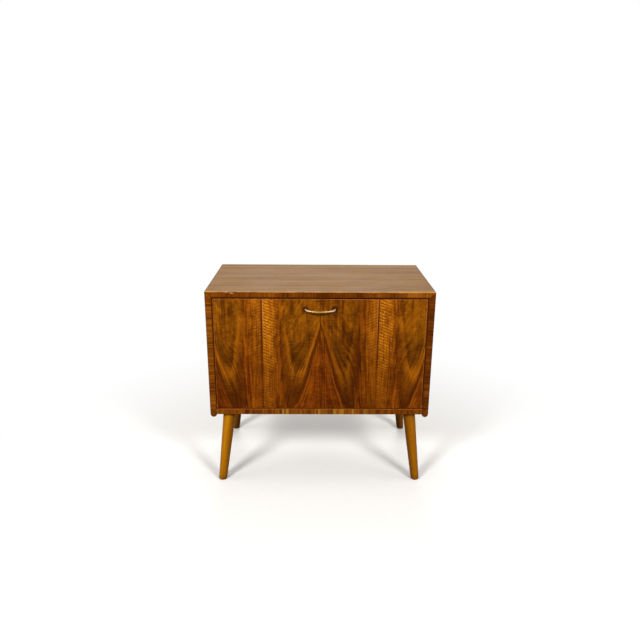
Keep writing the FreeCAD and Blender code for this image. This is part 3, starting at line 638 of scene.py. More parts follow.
class At(Enum):
    """The measures of a point within its leaf."""

    LEAF = "number of the leaf"
    HEIGHT = "height above the floor"
    ACROSS = "distance from the leaf's inner edge"
    SWAYED = "the same distance with the sway of the grain"
    ARMS = "measure that is alike along each V of the cathedral"
    FRAYED = "the same measure, frayed by streaks"
    VEE = "place on the cathedral's scale of colours"
    SIDE = "share of the way across the straight grain"
    GRAIN = "place on the straight grain's scale of colours"
    NARROW = "narrow streaks, about 0"
    FIBRE = "fine fibres, about 0"
    PORES = "short pores, about 0"
    STREAK = "streaks and soft patches together"
    MOTTLE = "slanting mottles"
    GOLDEN = "way from the golden V's middle to its edge"
    DARK = "way from the dark line's middle to its edge"
    PALE = "distance from the pale line"
    WOBBLE = "wobble of the curl"
    CURL = "distance across with that wobble"
    CREST = "crests of the curl's ripples"
    TROUGH = "troughs between the ripples"
    SEAM = "distance from the nearest seam"
    EDGE = "distance from the paler edge beside the outer seams"
    # Painted shadow of the pull on the veneer, partly dirt round its feet.
    GRIME = "dirt round the pull"


Measures = dict[At, Value]


def by_leaf(leaf: Value, numbers: PerLeaf) -> Value:
    """Give each leaf a number of its own.

    Args:
        leaf: The leaf's number.
        numbers: What to give, in the order of the leaves.

    Returns:
        The number that belongs to the leaf.
    """
    parts = []
    for which, number in zip(Leaf, numbers):
        if number:
            parts.append(leaf.bench.math("COMPARE", leaf, which.value, LEAF_MARGIN) * number)
    return reduce(add, parts)


@dataclass(frozen=True)
class LeafShape:
    """The sizes that set how the figure runs in each leaf, in metres and in cells to the metre."""

    width: float = 0.192
    heart: float = 0.080
    heart_round: float = 0.008
    heart_spread: float = 0.08
    lean: float = 0.30
    foot: float = 0.300
    golden: float = -0.01
    steep: float = 2.0
    loose: Span = Span(0.0, 0.014, 1.0, 0.23)
    vee_start: float = -0.04
    vee_width: float = 0.12
    side_start: float = 0.09
    side_width: float = 0.102
    sway_shift: float = 0.4
    slow_cells: Pair = (8.0, 3.4)
    slow_sway: float = 0.018
    quick_cells: Pair = (40.0, 14.0)
    quick_sway: float = 0.008
    nudge: Span = Span(0.05, 0.075, 0.005, 0.0)
    fan_rise: Span = Span(0.0, 0.05)
    fan_fall: Span = Span(0.05, 0.16, 1.0, 0.0)
    fan_top: float = 0.22
    streak_shift: float = 0.7
    streak_cells: tuple[Pair, ...] = ((95.0, 6.0), (330.0, 9.0), (900.0, 12.0), (1500.0, 60.0))
    streak_weights: Pair = (1.2, 2.1)
    fray_weights: Pair = (0.005, 0.008)
    break_weights: Pair = (0.2, 0.16)
    vee_breaks: Span = Span(0.4, 0.54, 0.7, 2.0)
    side_breaks: float = 2.6
    patch_scale: float = 24.0
    patch_cells: Triple = (48.0, 48.0, 150.0)
    patch_weights: Pair = (1.2, 0.84)
    mottle_slant: float = 0.62
    mottle_cells: Pair = (84.0, 13.0)
    golden_inner: Span = Span(0.004, 0.03, -0.0042, 0.0055)
    golden_outer: Span = Span(0.0, 0.014, -0.0042, 0.0012)
    golden_reach: Span = Span(0.0, 0.03, 0.0065, 0.0078)
    golden_thinner: float = -0.0035
    golden_wider: PerLeaf = (1.0, 1.0, 1.45, 1.45)
    golden_core: float = 0.0006
    dark_course: Span = Span(0.38, 0.46, WEDGE - 0.006, WEDGE - 0.009)
    dark_reach: Span = Span(0.36, 0.46, 0.008, 0.0048)
    dark_wider: PerLeaf = (0.003, 0.0, 0.0, 0.0)
    dark_core: float = 0.001
    curl_pitch: float = 0.0103
    curl_lean: float = -0.4
    curl_cells: Pair = (70.0, 45.0)
    curl_wobble: float = 0.02
    curl_edge: float = 0.05
    seam_edge: float = 0.0038
    pull_reach: float = 0.048
    pull_height: float = 0.6355
    pull_sink: float = 0.0178
    pull_bow: float = 4.0
    # Painted shadow round the pull's feet and below its rod, partly dirt.
    pull_foot: Span = Span(0.0055, 0.015, 0.92, 0.0)
    pull_below: Span = Span(0.001, 0.0075, 0.62, 0.0)
    pull_end: Span = Span(0.0, 0.012, 1.0, 0.0)

    def measure(self, position: Value) -> Measures:
        """Measure a point within its leaf.

        Args:
            position: The point.

        Returns:
            Its measures.
        """
        x, _, z = position.bench.split(position)
        reach = abs(x)
        seam = abs(reach - self.width)
        across = self.width - seam
        leaf = reach.above(self.width) * Leaf.LEFT_OUTER.value + x.above(0.0)
        swayed = across + self._sway(across, z, leaf)
        at = {
            At.LEAF: leaf,
            At.HEIGHT: z,
            At.ACROSS: across,
            At.SWAYED: swayed,
            At.ARMS: self._arms(swayed, z),
            At.SIDE: (swayed - self.side_start) / self.side_width,
            At.SEAM: reach.at_most(seam),
            At.EDGE: abs((self.width - reach) - self.seam_edge),
            At.GRIME: self._grime(reach, z),
        }
        self._add_streaks(at, position)
        self._add_lines(at)
        self._add_ripples(at)
        return at

    @staticmethod
    def _noise(at: Measures, across: Value, along: Value, cells: Pair) -> Value:
        """Sample noise that differs from leaf to leaf, with its cells in each metre across and along."""
        bench = across.bench
        return bench.noise(bench.join(across * cells[0], at[At.LEAF], along * cells[1]))

    def _sway(self, across: Value, z: Value, leaf: Value) -> Value:
        """Give the sideways sway of the grain, nearly alike in all leaves.

        Args:
            across: The distance from the leaf's inner edge.
            z: The height.
            leaf: The leaf's number.

        Returns:
            The sway.
        """
        shift = leaf * self.sway_shift
        slow, quick = (
            z.bench.noise(z.bench.join(across * wide, shift, z * tall), detail) - NOISE_MIDDLE
            for (wide, tall), detail in ((self.slow_cells, 2.0), (self.quick_cells, 3.0))
        )
        nudged = by_leaf(leaf, (1.0, 0.0, 0.0, 0.0)) * across.over(self.nudge)
        return quick * self.quick_sway + (nudged + slow * self.slow_sway)

    def _arms(self, swayed: Value, z: Value) -> Value:
        """Give the measure that is alike along each V of the cathedral, rounder the higher it stands.

        Beyond the heart the V's stand steeper, and those outside the golden one lie further apart.

        Args:
            swayed: The distance from the leaf's inner edge, with its sway.
            z: The height.

        Returns:
            The measure.
        """
        height = z - self.foot
        bow = height.at_least(0.0) * self.heart_spread + self.heart_round
        aside = swayed - self.heart
        beyond = aside.at_least(0.0)
        skewed = beyond * (self.steep - 1.0) + aside
        measure = z.bench.math("SQRT", skewed * skewed + bow * bow) - height * self.lean
        outside = (measure - self.golden).at_least(0.0)
        return outside * beyond.over(self.loose) + measure.at_most(self.golden)

    def _grime(self, reach: Value, z: Value) -> Value:
        """Paint shade round the two feet of the pull, and a shadow below its rod, partly dirt where fingers
        reach behind.

        Args:
            reach: The distance from the cabinet's middle.
            z: The height.

        Returns:
            The painted shade and dirt, from 0 to 1.
        """
        aside = reach - self.pull_reach
        above = z - self.pull_height
        near = z.bench.math("SQRT", aside * aside + above * above).over(self.pull_foot)
        sunk = above + self.pull_sink - reach * reach * self.pull_bow
        return near.at_least(abs(sunk).over(self.pull_below) * aside.over(self.pull_end))

    def _add_streaks(self, at: Measures, position: Value) -> None:
        """Measure the streaks along the fibres, which lean low down beside the wedge, and the patches.

        Args:
            at: The measures so far.
            position: The point.
        """
        bench, z, swayed = position.bench, at[At.HEIGHT], at[At.SWAYED]
        slope = swayed.over(self.fan_rise) * (swayed.over(self.fan_fall) * self.lean)
        fan = (z - self.foot).at_most(self.fan_top) * slope + swayed
        shift = at[At.LEAF] * self.streak_shift
        broad, narrow, at[At.FIBRE], at[At.PORES] = (
            bench.noise(bench.join(fan * wide, shift, z * tall), rough=0.6) - NOISE_MIDDLE
            for wide, tall in self.streak_cells
        )
        weighed = [
            broad * weights[0] + narrow * weights[1]
            for weights in (self.streak_weights, self.fray_weights, self.break_weights)
        ]
        patch = bench.noise(position, scale=self.patch_scale) - NOISE_MIDDLE
        mottle = bench.noise(position.stretched(self.patch_cells), detail=2.0) - NOISE_MIDDLE
        patches = patch * self.patch_weights[0] + mottle * self.patch_weights[1]
        at[At.NARROW] = narrow
        at[At.STREAK] = weighed[0] + patches
        at[At.FRAYED] = at[At.ARMS] + weighed[1]
        share = (at[At.ARMS] - self.vee_start) / self.vee_width
        at[At.VEE] = share + weighed[2] * z.over(self.vee_breaks)
        at[At.GRAIN] = at[At.SIDE] + weighed[2] * self.side_breaks

    def _add_lines(self, at: Measures) -> None:
        """Measure the golden V, and the dark and the pale line that bound the reddish wedge below it.

        Args:
            at: The measures so far.
        """
        across, z, leaf, frayed = at[At.ACROSS], at[At.HEIGHT], at[At.LEAF], at[At.FRAYED]
        aside = abs(across - self.heart)
        far = across.above(self.heart)
        inner = aside.over(self.golden_inner)
        course = (aside.over(self.golden_outer) - inner) * far + inner
        reach = far * self.golden_thinner + aside.over(self.golden_reach)
        reach = reach * by_leaf(leaf, self.golden_wider) - self.golden_core
        at[At.GOLDEN] = (abs(frayed - (course + self.golden)) - self.golden_core) / reach
        reach = by_leaf(leaf, self.dark_wider) + z.over(self.dark_reach) - self.dark_core
        at[At.DARK] = (abs(frayed - z.over(self.dark_course)) - self.dark_core) / reach
        at[At.PALE] = abs(frayed - WEDGE)

    def _add_ripples(self, at: Measures) -> None:
        """Measure the curl beside the seam and the mottles above.

        Args:
            at: The measures so far.
        """
        across, z = at[At.ACROSS], at[At.HEIGHT]
        slant = z * self.mottle_slant + across
        at[At.MOTTLE] = self._noise(at, slant, z - across * self.mottle_slant, self.mottle_cells)
        wobble = self._noise(at, across, z, self.curl_cells)
        phase = wobble * self.curl_wobble + (across * self.curl_lean + z)
        wave = z.bench.math("SINE", phase * (2.0 * math.pi / self.curl_pitch)) * 0.5
        at[At.WOBBLE] = wobble
        at[At.CURL] = wobble * self.curl_edge + across
        at[At.CREST] = wave + 0.5
        at[At.TROUGH] = 0.5 - wave


@dataclass(frozen=True)
class Mark:
    """A span of one measure."""

    measure: At
    start: float
    end: float
    low: float = 0.0
    high: float = 1.0

    def read(self, at: Measures) -> Value:
        """Give how strong the mark is at a point."""
        return at[self.measure].over(Span(self.start, self.end, self.low, self.high))


@dataclass(frozen=True)
class Coat:
    """A colour that is laid over the figure where its marks meet.

    Attributes:
        title: What the coat shows, which becomes its node's label.
        colour: Its colour, or its factor if it tints.
        marks: Marks, or plain measures from 0 to 1, that are multiplied.
        leaves: Its strength on each leaf.
        blend: How it is laid.
        dark: The factor of a tint where the marks are 0.
    """

    title: str
    colour: Rgba
    marks: tuple[Union[Mark, At], ...]
    leaves: PerLeaf = ALL_LEAVES
    blend: Blend = Blend.COVER
    dark: Optional[Rgba] = None

    def lay(self, at: Measures, below: Value) -> Value:
        """Lay the coat over a colour.

        Args:
            at: The measures of the point.
            below: The colour below.

        Returns:
            The colour with the coat.
        """
        parts = [at[mark] if isinstance(mark, At) else mark.read(at) for mark in self.marks]
        if self.leaves != ALL_LEAVES:
            parts.append(by_leaf(at[At.LEAF], self.leaves))
        share, colour = reduce(mul, parts), self.colour
        if self.dark is not None:
            share, colour = 1.0, below.bench.mix(share, self.dark, self.colour)
        return below.bench.mix(share, below, colour, self.blend, self.title)


# The cathedral alone: its V's are dark at their feet.
VEE_COATS = (
    Coat(
        "dark feet",
        tone(78, 34, 1),
        (Mark(At.HEIGHT, 0.31, 0.39, 0.62, 0.0), Mark(At.ARMS, WEDGE - WEDGE_SOFT, WEDGE, 1.0, 0.0)),
    ),
)

# The straight grain alone: duller below, darker beside the curl and brighter on the outer leaves.
BRIGHT_STRIP = (Mark(At.SIDE, 0.05, 0.2), Mark(At.HEIGHT, 0.5, 0.58, 1.0, 0.0))
BRIGHT_TINT = (1.26, 1.3, 1.2, 1.0)
SIDE_COATS = (
    Coat(
        "dull foot",
        tone(118, 56, 4),
        (Mark(At.HEIGHT, 0.38, 0.58, 0.72, 0.0), Mark(At.SIDE, 0.4, 0.6)),
        (1.0, 1.0, 0.25, 1.0),
    ),
    Coat(
        "dark strip",
        (0.84, 0.8, 0.82, 1.0),
        (Mark(At.SIDE, 0.42, 0.55), Mark(At.SIDE, 0.85, 0.95, 1.0, 0.0)),
        (1.0, 0.0, 0.0, 1.0),
        Blend.TINT,
    ),
    Coat(
        "bright left strip",
        BRIGHT_TINT,
        (*BRIGHT_STRIP, Mark(At.SIDE, 0.6, 0.8, 1.0, 0.0)),
        (0.0, 0.0, 1.0, 0.0),
        Blend.TINT,
    ),
    Coat(
        "bright right strip",
        BRIGHT_TINT,
        (*BRIGHT_STRIP, Mark(At.SIDE, 0.3, 0.5, 1.0, 0.0)),
        (0.0, 0.0, 0.0, 1.0),
        Blend.TINT,
    ),
)

# Above, the figure runs out in golden wood round the pull, with brown beside it and slanting mottles.
CROWN_END = Mark(At.ACROSS, 0.118, 0.14, 1.0, 0.0)
CROWN_MOTTLED = (Mark(At.HEIGHT, 0.5, 0.56), CROWN_END)
CROWN_COATS = (
    Coat(
        "golden crown",
        tone(146, 82, 8),
        (Mark(At.HEIGHT, 0.5, 0.61, 0.0, 0.72), Mark(At.ACROSS, 0.035, 0.085, 1.0, 0.0)),
    ),
    Coat(
        "brown crown",
        tone(122, 66, 5),
        (Mark(At.HEIGHT, 0.5, 0.58, 0.0, 0.85), Mark(At.ACROSS, 0.05, 0.085), CROWN_END),
    ),
    Coat("pale mottles", tone(166, 94, 10), (Mark(At.MOTTLE, 0.5, 0.7, 0.0, 0.62), *CROWN_MOTTLED)),
    Coat("dark mottles", tone(94, 48, 3), (Mark(At.MOTTLE, 0.3, 0.48, 0.55, 0.0), *CROWN_MOTTLED)),
)

# Streaks, fibres and pores run through all of it.
FIBRE_COATS = (
    Coat(
        "streaks",
        (1.17, 1.22, 1.12, 1.0),
        (Mark(At.STREAK, -0.45, 0.45),),
        blend=Blend.TINT,
        dark=(0.42, 0.36, 0.29, 1.0),
    ),
    Coat(
        "fibres",
        (1.15, 1.17, 1.18, 1.0),
        (Mark(At.FIBRE, -0.2, 0.2),),
        blend=Blend.TINT,
        dark=(0.84, 0.82, 0.78, 1.0),
    ),
    Coat("pores", tone(58, 24, 2), (Mark(At.PORES, 0.12, 0.2, 0.0, 0.55),)),
)

# The golden V, and the dark and the pale line that bound the reddish wedge below it.
GOLDEN_TONE = tone(164, 92, 11)
GOLDEN_VEE = (
    Mark(At.GOLDEN, 0.0, 1.0, 0.82, 0.0),
    Mark(At.HEIGHT, 0.57, 0.63, 1.0, 0.2),
    Mark(At.NARROW, -0.14, 0.12, 0.3, 1.15),
    Mark(At.ACROSS, 0.06, 0.095, 1.0, 0.6),
)
WEDGE_SIDE = Mark(At.ACROSS, 0.06, 0.078, 1.0, 0.25)
LINE_COATS = (
    Coat(
        "inner V's",
        GOLDEN_TONE,
        (*GOLDEN_VEE, Mark(At.HEIGHT, 0.385, 0.42, 0.05, 1.0)),
        (1.0, 0.5, 0.0, 0.0),
    ),
    Coat(
        "outer V's",
        GOLDEN_TONE,
        (*GOLDEN_VEE, Mark(At.HEIGHT, 0.365, 0.4, 0.05, 1.0)),
        (0.0, 0.0, 1.0, 1.0),
    ),
    Coat(
        "dark line",
        tone(82, 34, 1),
        (Mark(At.DARK, 0.0, 1.0, 1.0, 0.0), WEDGE_SIDE),
        (0.92, 0.72, 0.72, 0.72),
    ),
    Coat(
        "pale line",
        tone(160, 86, 20),
        (Mark(At.PALE, 0.0004, 0.0028, 0.5, 0.0), WEDGE_SIDE, Mark(At.HEIGHT, 0.36, 0.48, 1.0, 0.4)),
    ),
)

# What sets the leaves apart: one darker leaf, one darker wedge and brighter wood along the top.
SHADE_COATS = (
    Coat("darker leaf", (0.86, 0.82, 0.85, 1.0), (), (0.0, 1.0, 0.0, 0.0), Blend.TINT),
    Coat(
        "darker wedge",
        (0.66, 0.56, 0.62, 1.0),
        (Mark(At.ARMS, WEDGE - WEDGE_SOFT, WEDGE + 0.002),),
        (0.0, 0.0, 1.0, 0.0),
        Blend.TINT,
    ),
    Coat(
        "brighter top",
        (1.22, 1.28, 1.2, 1.0),
        (Mark(At.HEIGHT, 0.61, 0.65), Mark(At.ACROSS, 0.06, 0.1)),
        blend=Blend.TINT,
    ),
)

# The curl beside the seams is weaker on the leaves that lie the other way up to the light.
CURL_STRIP = (
    Mark(At.CURL, 0.152, 0.208),
    Mark(At.ACROSS, 0.1865, 0.191, 1.0, 0.0),
    Mark(At.HEIGHT, 0.36, 0.6, 0.25, 1.0),
)
CURL_LIGHT = (Mark(At.WOBBLE, 0.35, 0.62, 0.35, 1.0), Mark(At.NARROW, -0.14, 0.12, 0.35, 1.08))
CURL_COATS = (
    Coat("curl", tone(176, 98, 10), CURL_STRIP, (0.3, 0.096, 0.096, 0.27)),
    Coat("crests", tone(230, 150, 32), (At.CREST, *CURL_LIGHT, *CURL_STRIP), (0.95, 0.304, 0.304, 0.855)),
    Coat("troughs", tone(124, 60, 4), (At.TROUGH, *CURL_STRIP), (0.55, 0.176, 0.176, 0.81)),
)

# The glue lines between the leaves, the paler edge beside the outer ones, and painted shadow round and
# below the pull, partly dirt.
EDGE_COATS = (
    Coat(
        "glue line",
        tone(62, 22, 1),
        (Mark(At.SEAM, 0.0005, 0.0016, 1.0, 0.0), Mark(At.HEIGHT, 0.36, 0.58, 0.25, 0.85)),
    ),
    Coat(
        "pale edge",
        tone(192, 122, 56),
        (Mark(At.EDGE, 0.0006, 0.0022, 1.0, 0.0), Mark(At.HEIGHT, 0.48, 0.64, 0.0, 0.6)),
    ),
    # Painted shadow round and below the pull, partly dirt.
    Coat("shade_and_grime_tone", tone(44, 18, 1), (At.GRIME,)),
)


def coated(colour: Value, coats: tuple[Coat, ...], at: Measures) -> Value:
    """Lay several coats over a colour, in order."""
    return reduce(lambda below, coat: coat.lay(at, below), coats, colour)


@dataclass(frozen=True)
class BookmatchedVeneer(Finish):
    """Four mirrored leaves of figured walnut: cathedral, straight grain and curl beside the seams."""

    name: str
    envelope: Envelope
    shape: LeafShape = LeafShape()
    vee_scale: tuple[Stop, ...] = stops(
        (0.0, 126, 69, 6), (0.08, 108, 58, 4), (0.13, 98, 52, 3), (0.18, 110, 58, 4), (0.23, 124, 67, 5),
        (0.28, 124, 66, 6), (0.32, 112, 56, 4), (0.36, 98, 46, 2), (0.4, 96, 42, 2), (0.42, 112, 51, 4),
        (0.44, 126, 60, 6), (0.47, 120, 56, 5), (0.5, 134, 66, 8), (0.55, 118, 55, 5), (0.6, 132, 63, 7),
        (0.68, 114, 52, 4), (0.78, 126, 59, 6), (1.0, 120, 56, 5),
    )
    side_scale: tuple[Stop, ...] = stops(
        (0.0, 118, 60, 4), (0.3, 126, 63, 5), (0.37, 88, 38, 2), (0.43, 132, 65, 6), (0.52, 120, 57, 5),
        (0.6, 140, 71, 7), (0.7, 152, 81, 8), (0.86, 160, 87, 9), (0.95, 132, 66, 8), (1.0, 104, 48, 5),
    )
    side_cover: Span = Span(0.108, 0.134)
    arris_width: float = 0.0034
    wear_share: float = 0.6
    wear_and_painted_highlight: Rgba = tone(178, 108, 50)
    sheen: Pair = (0.34, 0.46)
    relief: float = 0.2

    def material(self, effects: SharedEffects) -> bpy.types.Material:
        """Make the veneer's material out of the shared effects.

        Args:
            effects: The shared node groups.

        Returns:
            The material.
        """
        surface = Surface(self.name, effects)
        at = self.shape.measure(surface.position)
        colour = coated(surface.bench.ramp(at[At.VEE], self.vee_scale), VEE_COATS, at)
        side = coated(surface.bench.ramp(at[At.GRAIN], self.side_scale), SIDE_COATS, at)
        colour = colour.under(at[At.SWAYED].over(self.side_cover), side)
        for coats in (CROWN_COATS, FIBRE_COATS, LINE_COATS, SHADE_COATS, CURL_COATS, EDGE_COATS):
            colour = coated(colour, coats, at)
        wear_and_painted_light = self.envelope.only(Face.SIDES, Face.FRONT, Face.TOP)
        colour = colour.under(surface.arris(wear_and_painted_light, self.arris_width) * self.wear_share, self.wear_and_painted_highlight)
        return surface.lacquered(colour, at[At.FIBRE], self.relief, self.sheen)


@dataclass(frozen=True)
class KnockedSpot:
    """One spot of a knocked arris: its centre from the knock, half sizes, strength and colour."""

    centre: Triple
    half: Triple
    share: float
    shade: Rgba


@dataclass(frozen=True)
class CrossBand(Finish):
    """A narrow strip whose fibres run across it, cut from changing wood."""

    name: str
    upright: bool
    envelope: Envelope
    scale: tuple[Stop, ...]
    zones: float = 26.0
    streaks: float = 0.6
    rub: float = 0.9
    # The arris tone, which each strip sets for itself, from wear with painted highlight to painted shade.
    wear_and_painted_light: Rgba = tone(198, 142, 74)
    # Painted shade along the edge beside the gap round the fall front: its place and reach.
    shaded_edge: Optional[Pair] = None
    sapwood: float = 0.0
    knock: Optional[Triple] = None
    zone_cells: float = 2.0
    fibre_cells: Pair = (300.0, 9.0)
    fibre_level: float = 0.5
    # The tone, strength and start of that painted shade.
    painted_shade: Rgba = tone(78, 32, 3)
    painted_shade_share: float = 0.8
    painted_shade_core: float = 0.23
    sapwood_level: Pair = (3.7, 1.2)
    sapwood_reach: Span = Span(0.12, 0.2, 1.0, 0.0)
    woods: tuple[Tinge, ...] = (
        (Span(0.6, 0.66, 0.0, 0.8), tone(158, 112, 30)),
        (Span(0.4, 0.34, 0.0, 0.7), tone(92, 28, 4)),
    )
    spots: tuple[KnockedSpot, ...] = (
        KnockedSpot((0.003, 0.0, -0.001), (0.022, 0.02, 0.006), 0.5, tone(100, 50, 6)),
        KnockedSpot((0.0065, 0.0, 0.0052), (0.021, 0.02, 0.0055), 1.0, tone(88, 44, 5)),
        KnockedSpot((-0.018, 0.0, 0.0032), (0.0066, 0.02, 0.0028), 0.75, tone(206, 152, 92)),
        KnockedSpot((0.0, 0.0, -0.0002), (0.0078, 0.02, 0.0028), 0.9, tone(200, 136, 70)),
    )
    spot_edge: Pair = (0.9, 1.5)
    ragged_scale: float = 220.0
    arris_width: float = 0.003
    sheen: Pair = (0.36, 0.5)
    relief: float = 0.2

    def material(self, effects: SharedEffects) -> bpy.types.Material:
        """Make the strip's material out of the shared effects.

        Args:
            effects: The shared node groups.

        Returns:
            The material.
        """
        surface = Surface(self.name, effects)
        bench = surface.bench
        x, _, z = bench.split(surface.position)
        run, athwart = (z, x) if self.upright else (x, z)
        broad, fine = (
            bench.noise(bench.join(run * along, self.fibre_level, athwart * aside))
            for along, aside in ((self.zones, self.zone_cells), self.fibre_cells)
        )
        colour = bench.ramp(fine * self.streaks + broad * (1.0 - self.streaks), self.scale)
        # Painted shade along the edge beside the gap.
        if self.shaded_edge is not None:
            edge, reach = self.shaded_edge
            painted_shade = athwart.over(Span(edge + self.painted_shade_core * reach, edge + reach, self.painted_shade_share, 0.0))
            colour = colour.under(painted_shade, self.painted_shade)
        if self.sapwood:
            colour = self._changing(x, colour)
        # The arrises take the strip's arris tone: wear with a painted highlight on the top and base bands,
        # painted shade on the side bands.
        colour = colour.under(surface.arris(self.envelope, self.arris_width) * self.rub, self.wear_and_painted_light)
        if self.knock is not None:
            colour = self._knocked(surface.position, colour)
        return surface.lacquered(colour, fine, self.relief, self.sheen)

    def _knocked(self, position: Value, colour: Value) -> Value:
        """Show where the arris was knocked: torn and dirty along it, with bare wood below and beside.

        Args:
            position: The point on the strip.
            colour: The colour below.

        Returns:
            The colour with the knock.
        """
        bench = position.bench
        ragged = bench.noise(position, scale=self.ragged_scale)
        away = bench.vector("SUBTRACT", position, self.knock)
        for spot in self.spots:
            off = bench.vector("SUBTRACT", away, spot.centre)
            reach = bench.length(bench.vector("DIVIDE", off, spot.half))
            colour = colour.under((ragged + reach).over(Span(*self.spot_edge, spot.share, 0.0)), spot.shade)
        return colour

    def _changing(self, x: Value, colour: Value) -> Value:
        """Let short lengths of pale sapwood and dark heartwood show in the middle of the strip.

        Args:
            x: The place along the strip.
            colour: The colour below.

        Returns:
            The colour with the changes of wood.
        """
        lengths = x.bench.noise(x.bench.join(x * self.sapwood, *self.sapwood_level), detail=1.0)
        near = abs(x).over(self.sapwood_reach)
        for span, shade in self.woods:
            colour = colour.under(lengths.over(span) * near, shade)
        return colour


@dataclass(frozen=True)
class TurnedBeech(Finish):
    """Honey-coloured lacquered beech, with its grain along each leg."""

    name: str
    top_x: float = 0.3135
    middle_y: float = 0.0135
    top_y: float = 0.1615
    top_z: float = 0.255
    splay: float = math.tan(math.radians(9.6)) / math.sqrt(2.0)
    right_shift: float = 3.1
    back_shift: float = 1.7
    band_scale: float = 46.0
    weights: Pair = (0.4, 0.6)
    scale: tuple[Stop, ...] = stops((0.34, 132, 76, 5), (0.5, 168, 105, 8), (0.66, 192, 128, 15))
    right_stain: Stop = (0.55, tone(132, 76, 7))
    # The back legs are painted darker as shade, in place of the shadow under the case.
    back_leg_shade: Stop = (0.6, tone(84, 46, 4))
    # The side of each leg that faces the middle is painted darker as shade.
    inner_side_shade: Tinge = (Span(-0.017, 0.004, 0.7, 0.0), tone(100, 52, 4))
    fleck_cells: Triple = (700.0, 700.0, 160.0)
    flecks: Tinge = (Span(0.63, 0.75, 0.0, 0.35), tone(150, 86, 10))
    # Each leg is darker towards its foot.
    foot_darkening_uneven: float = 0.02
    foot_darkening: Tinge = (Span(0.012, 0.036, 0.55, 0.0), tone(96, 52, 10))
    sheen: Pair = (0.3, 0.42)
    relief: float = 0.15

    def material(self, effects: SharedEffects) -> bpy.types.Material:
        """Make the legs' material out of the shared effects.

        Args:
            effects: The shared node groups.

        Returns:
            The material.
        """
        surface = Surface(self.name, effects)
        bench = surface.bench
        x, y, z = bench.split(surface.position)
        drop = (self.top_z - z) * self.splay
        from_middle = y - self.middle_y
        aside = abs(x) - self.top_x - drop
        ahead = abs(from_middle) - self.top_y - drop
        right = x.above(0.0)
        back = from_middle.above(0.0)
        along = bench.join(aside, ahead, back * self.back_shift + (right * self.right_shift + z))
        wood = bench.place(effects.wood_fibre, Vector=along, Band_Scale=self.band_scale)
        colour = bench.ramp(wood["Fibre"] * self.weights[0] + wood["Band"] * self.weights[1], self.scale)
        # The right legs get a darker stain of their own; the back legs get painted shade.
        for flag, (share, shade) in ((right, self.right_stain), (back, self.back_leg_shade)):
            colour = colour.under(flag * share, shade)
        fleck = bench.noise(along.stretched(self.fleck_cells), detail=1.0)
        foot = wood["Band"] * self.foot_darkening_uneven + z
        # Painted shade on the inner sides, then flecks, then darker wood towards the feet.
        for measure, (span, shade) in ((aside, self.inner_side_shade), (fleck, self.flecks), (foot, self.foot_darkening)):
            colour = colour.under(measure.over(span), shade)
        return surface.lacquered(colour, wood["Fibre"], self.relief, self.sheen)


@dataclass(frozen=True)
class OldMetal(Finish):
    """Brass or plated steel with cloudy tarnish and a rubbed surface."""

    name: str
    bright: Rgba
    dull: Rgba
    sheen: Pair
    scale: float = 130.0
    tarnish: float = 0.6

    def material(self, effects: SharedEffects) -> bpy.types.Material:
        """Make the metal's material out of the shared effects.

        Args:
            effects: The shared node groups.

        Returns:
            The material.
        """
        surface = Surface(self.name, effects)
        age = surface.bench.place(effects.metal_tarnish, Position=surface.position, Scale=self.scale)
        colour = surface.bench.mix(age["Tarnish"] * self.tarnish, self.bright, self.dull)
        return surface.polished(age, self.sheen, colour, 1.0)


@dataclass(frozen=True)
class HandledBrass(Finish):
    """Brass of a pull: dulled by hands in the middle, with a painted highlight on its arms and painted
    shade below and at its feet.
    """

    name: str
    face: float
    axis: float
    handled: Rgba = tone(162, 132, 74)
    # The arms are painted pale, with less metal shine, as a highlight.
    pale: Rgba = tone(216, 180, 146)
    tarnished: Rgba = tone(128, 98, 44)
    # Painted shade, partly grime, under the rod and at its feet.
    shade_and_grime: Rgba = tone(62, 36, 12)
    scale: float = 90.0
    arm: Span = Span(0.024, 0.04128)
    metal: Span = Span(0.024, 0.0432, 1.0, 0.3)
    uneven: float = -0.006
    tarnish: float = 0.3
    foot: Span = Span(0.0024, 0.00528, 1.0, 0.0)
    under: Span = Span(0.0009, 0.0023, 0.0, 0.9)
    sheen: Pair = (0.34, 0.48)

    def material(self, effects: SharedEffects) -> bpy.types.Material:
        """Make the brass out of the shared effects.

        Args:
            effects: The shared node groups.

        Returns:
            The material.
        """
        surface = Surface(self.name, effects)
        x, y, z = surface.bench.split(surface.position)
        age = surface.bench.place(effects.metal_tarnish, Position=surface.position, Scale=self.scale)
        reach = age["Tarnish"] * self.uneven + abs(x)
        colour = surface.bench.mix(reach.over(self.arm), self.handled, self.pale)
        colour = colour.under(age["Tarnish"] * self.tarnish, self.tarnished)
        # Painted shade, partly grime, at the feet and under the rod.
        painted_shade = (self.face - y).over(self.foot).at_least((self.axis - z).over(self.under))
        return surface.polished(age, self.sheen, colour.under(painted_shade, self.shade_and_grime), reach.over(self.metal))


@dataclass(frozen=True)
class MouldedStuff(Finish):
    """Moulded plastic or pressed ferrite with a fine pebbled skin."""

    name: str
    body: Rgba
    wear_and_painted_light: Rgba
    sheen: Pair
    pebble: float = 1400.0
    rub: Span = Span(0.4, 0.75)
    relief: float = 0.2

    def material(self, effects: SharedEffects) -> bpy.types.Material:
        """Make the moulding's material out of the shared effects.

        Args:
            effects: The shared node groups.

        Returns:
            The material.
        """
        surface = Surface(self.name, effects)
        pebble = surface.bench.noise(surface.position, detail=2.0, scale=self.pebble)
        return surface.done(
            Base_Color=surface.bench.mix(surface.haze().over(self.rub), self.body, self.wear_and_painted_light),
            Roughness=pebble.over(Span(*HAZE_RANGE, *self.sheen)),
            Normal=surface.bench.bump(pebble, self.relief, SKIN_DEPTH),
        )


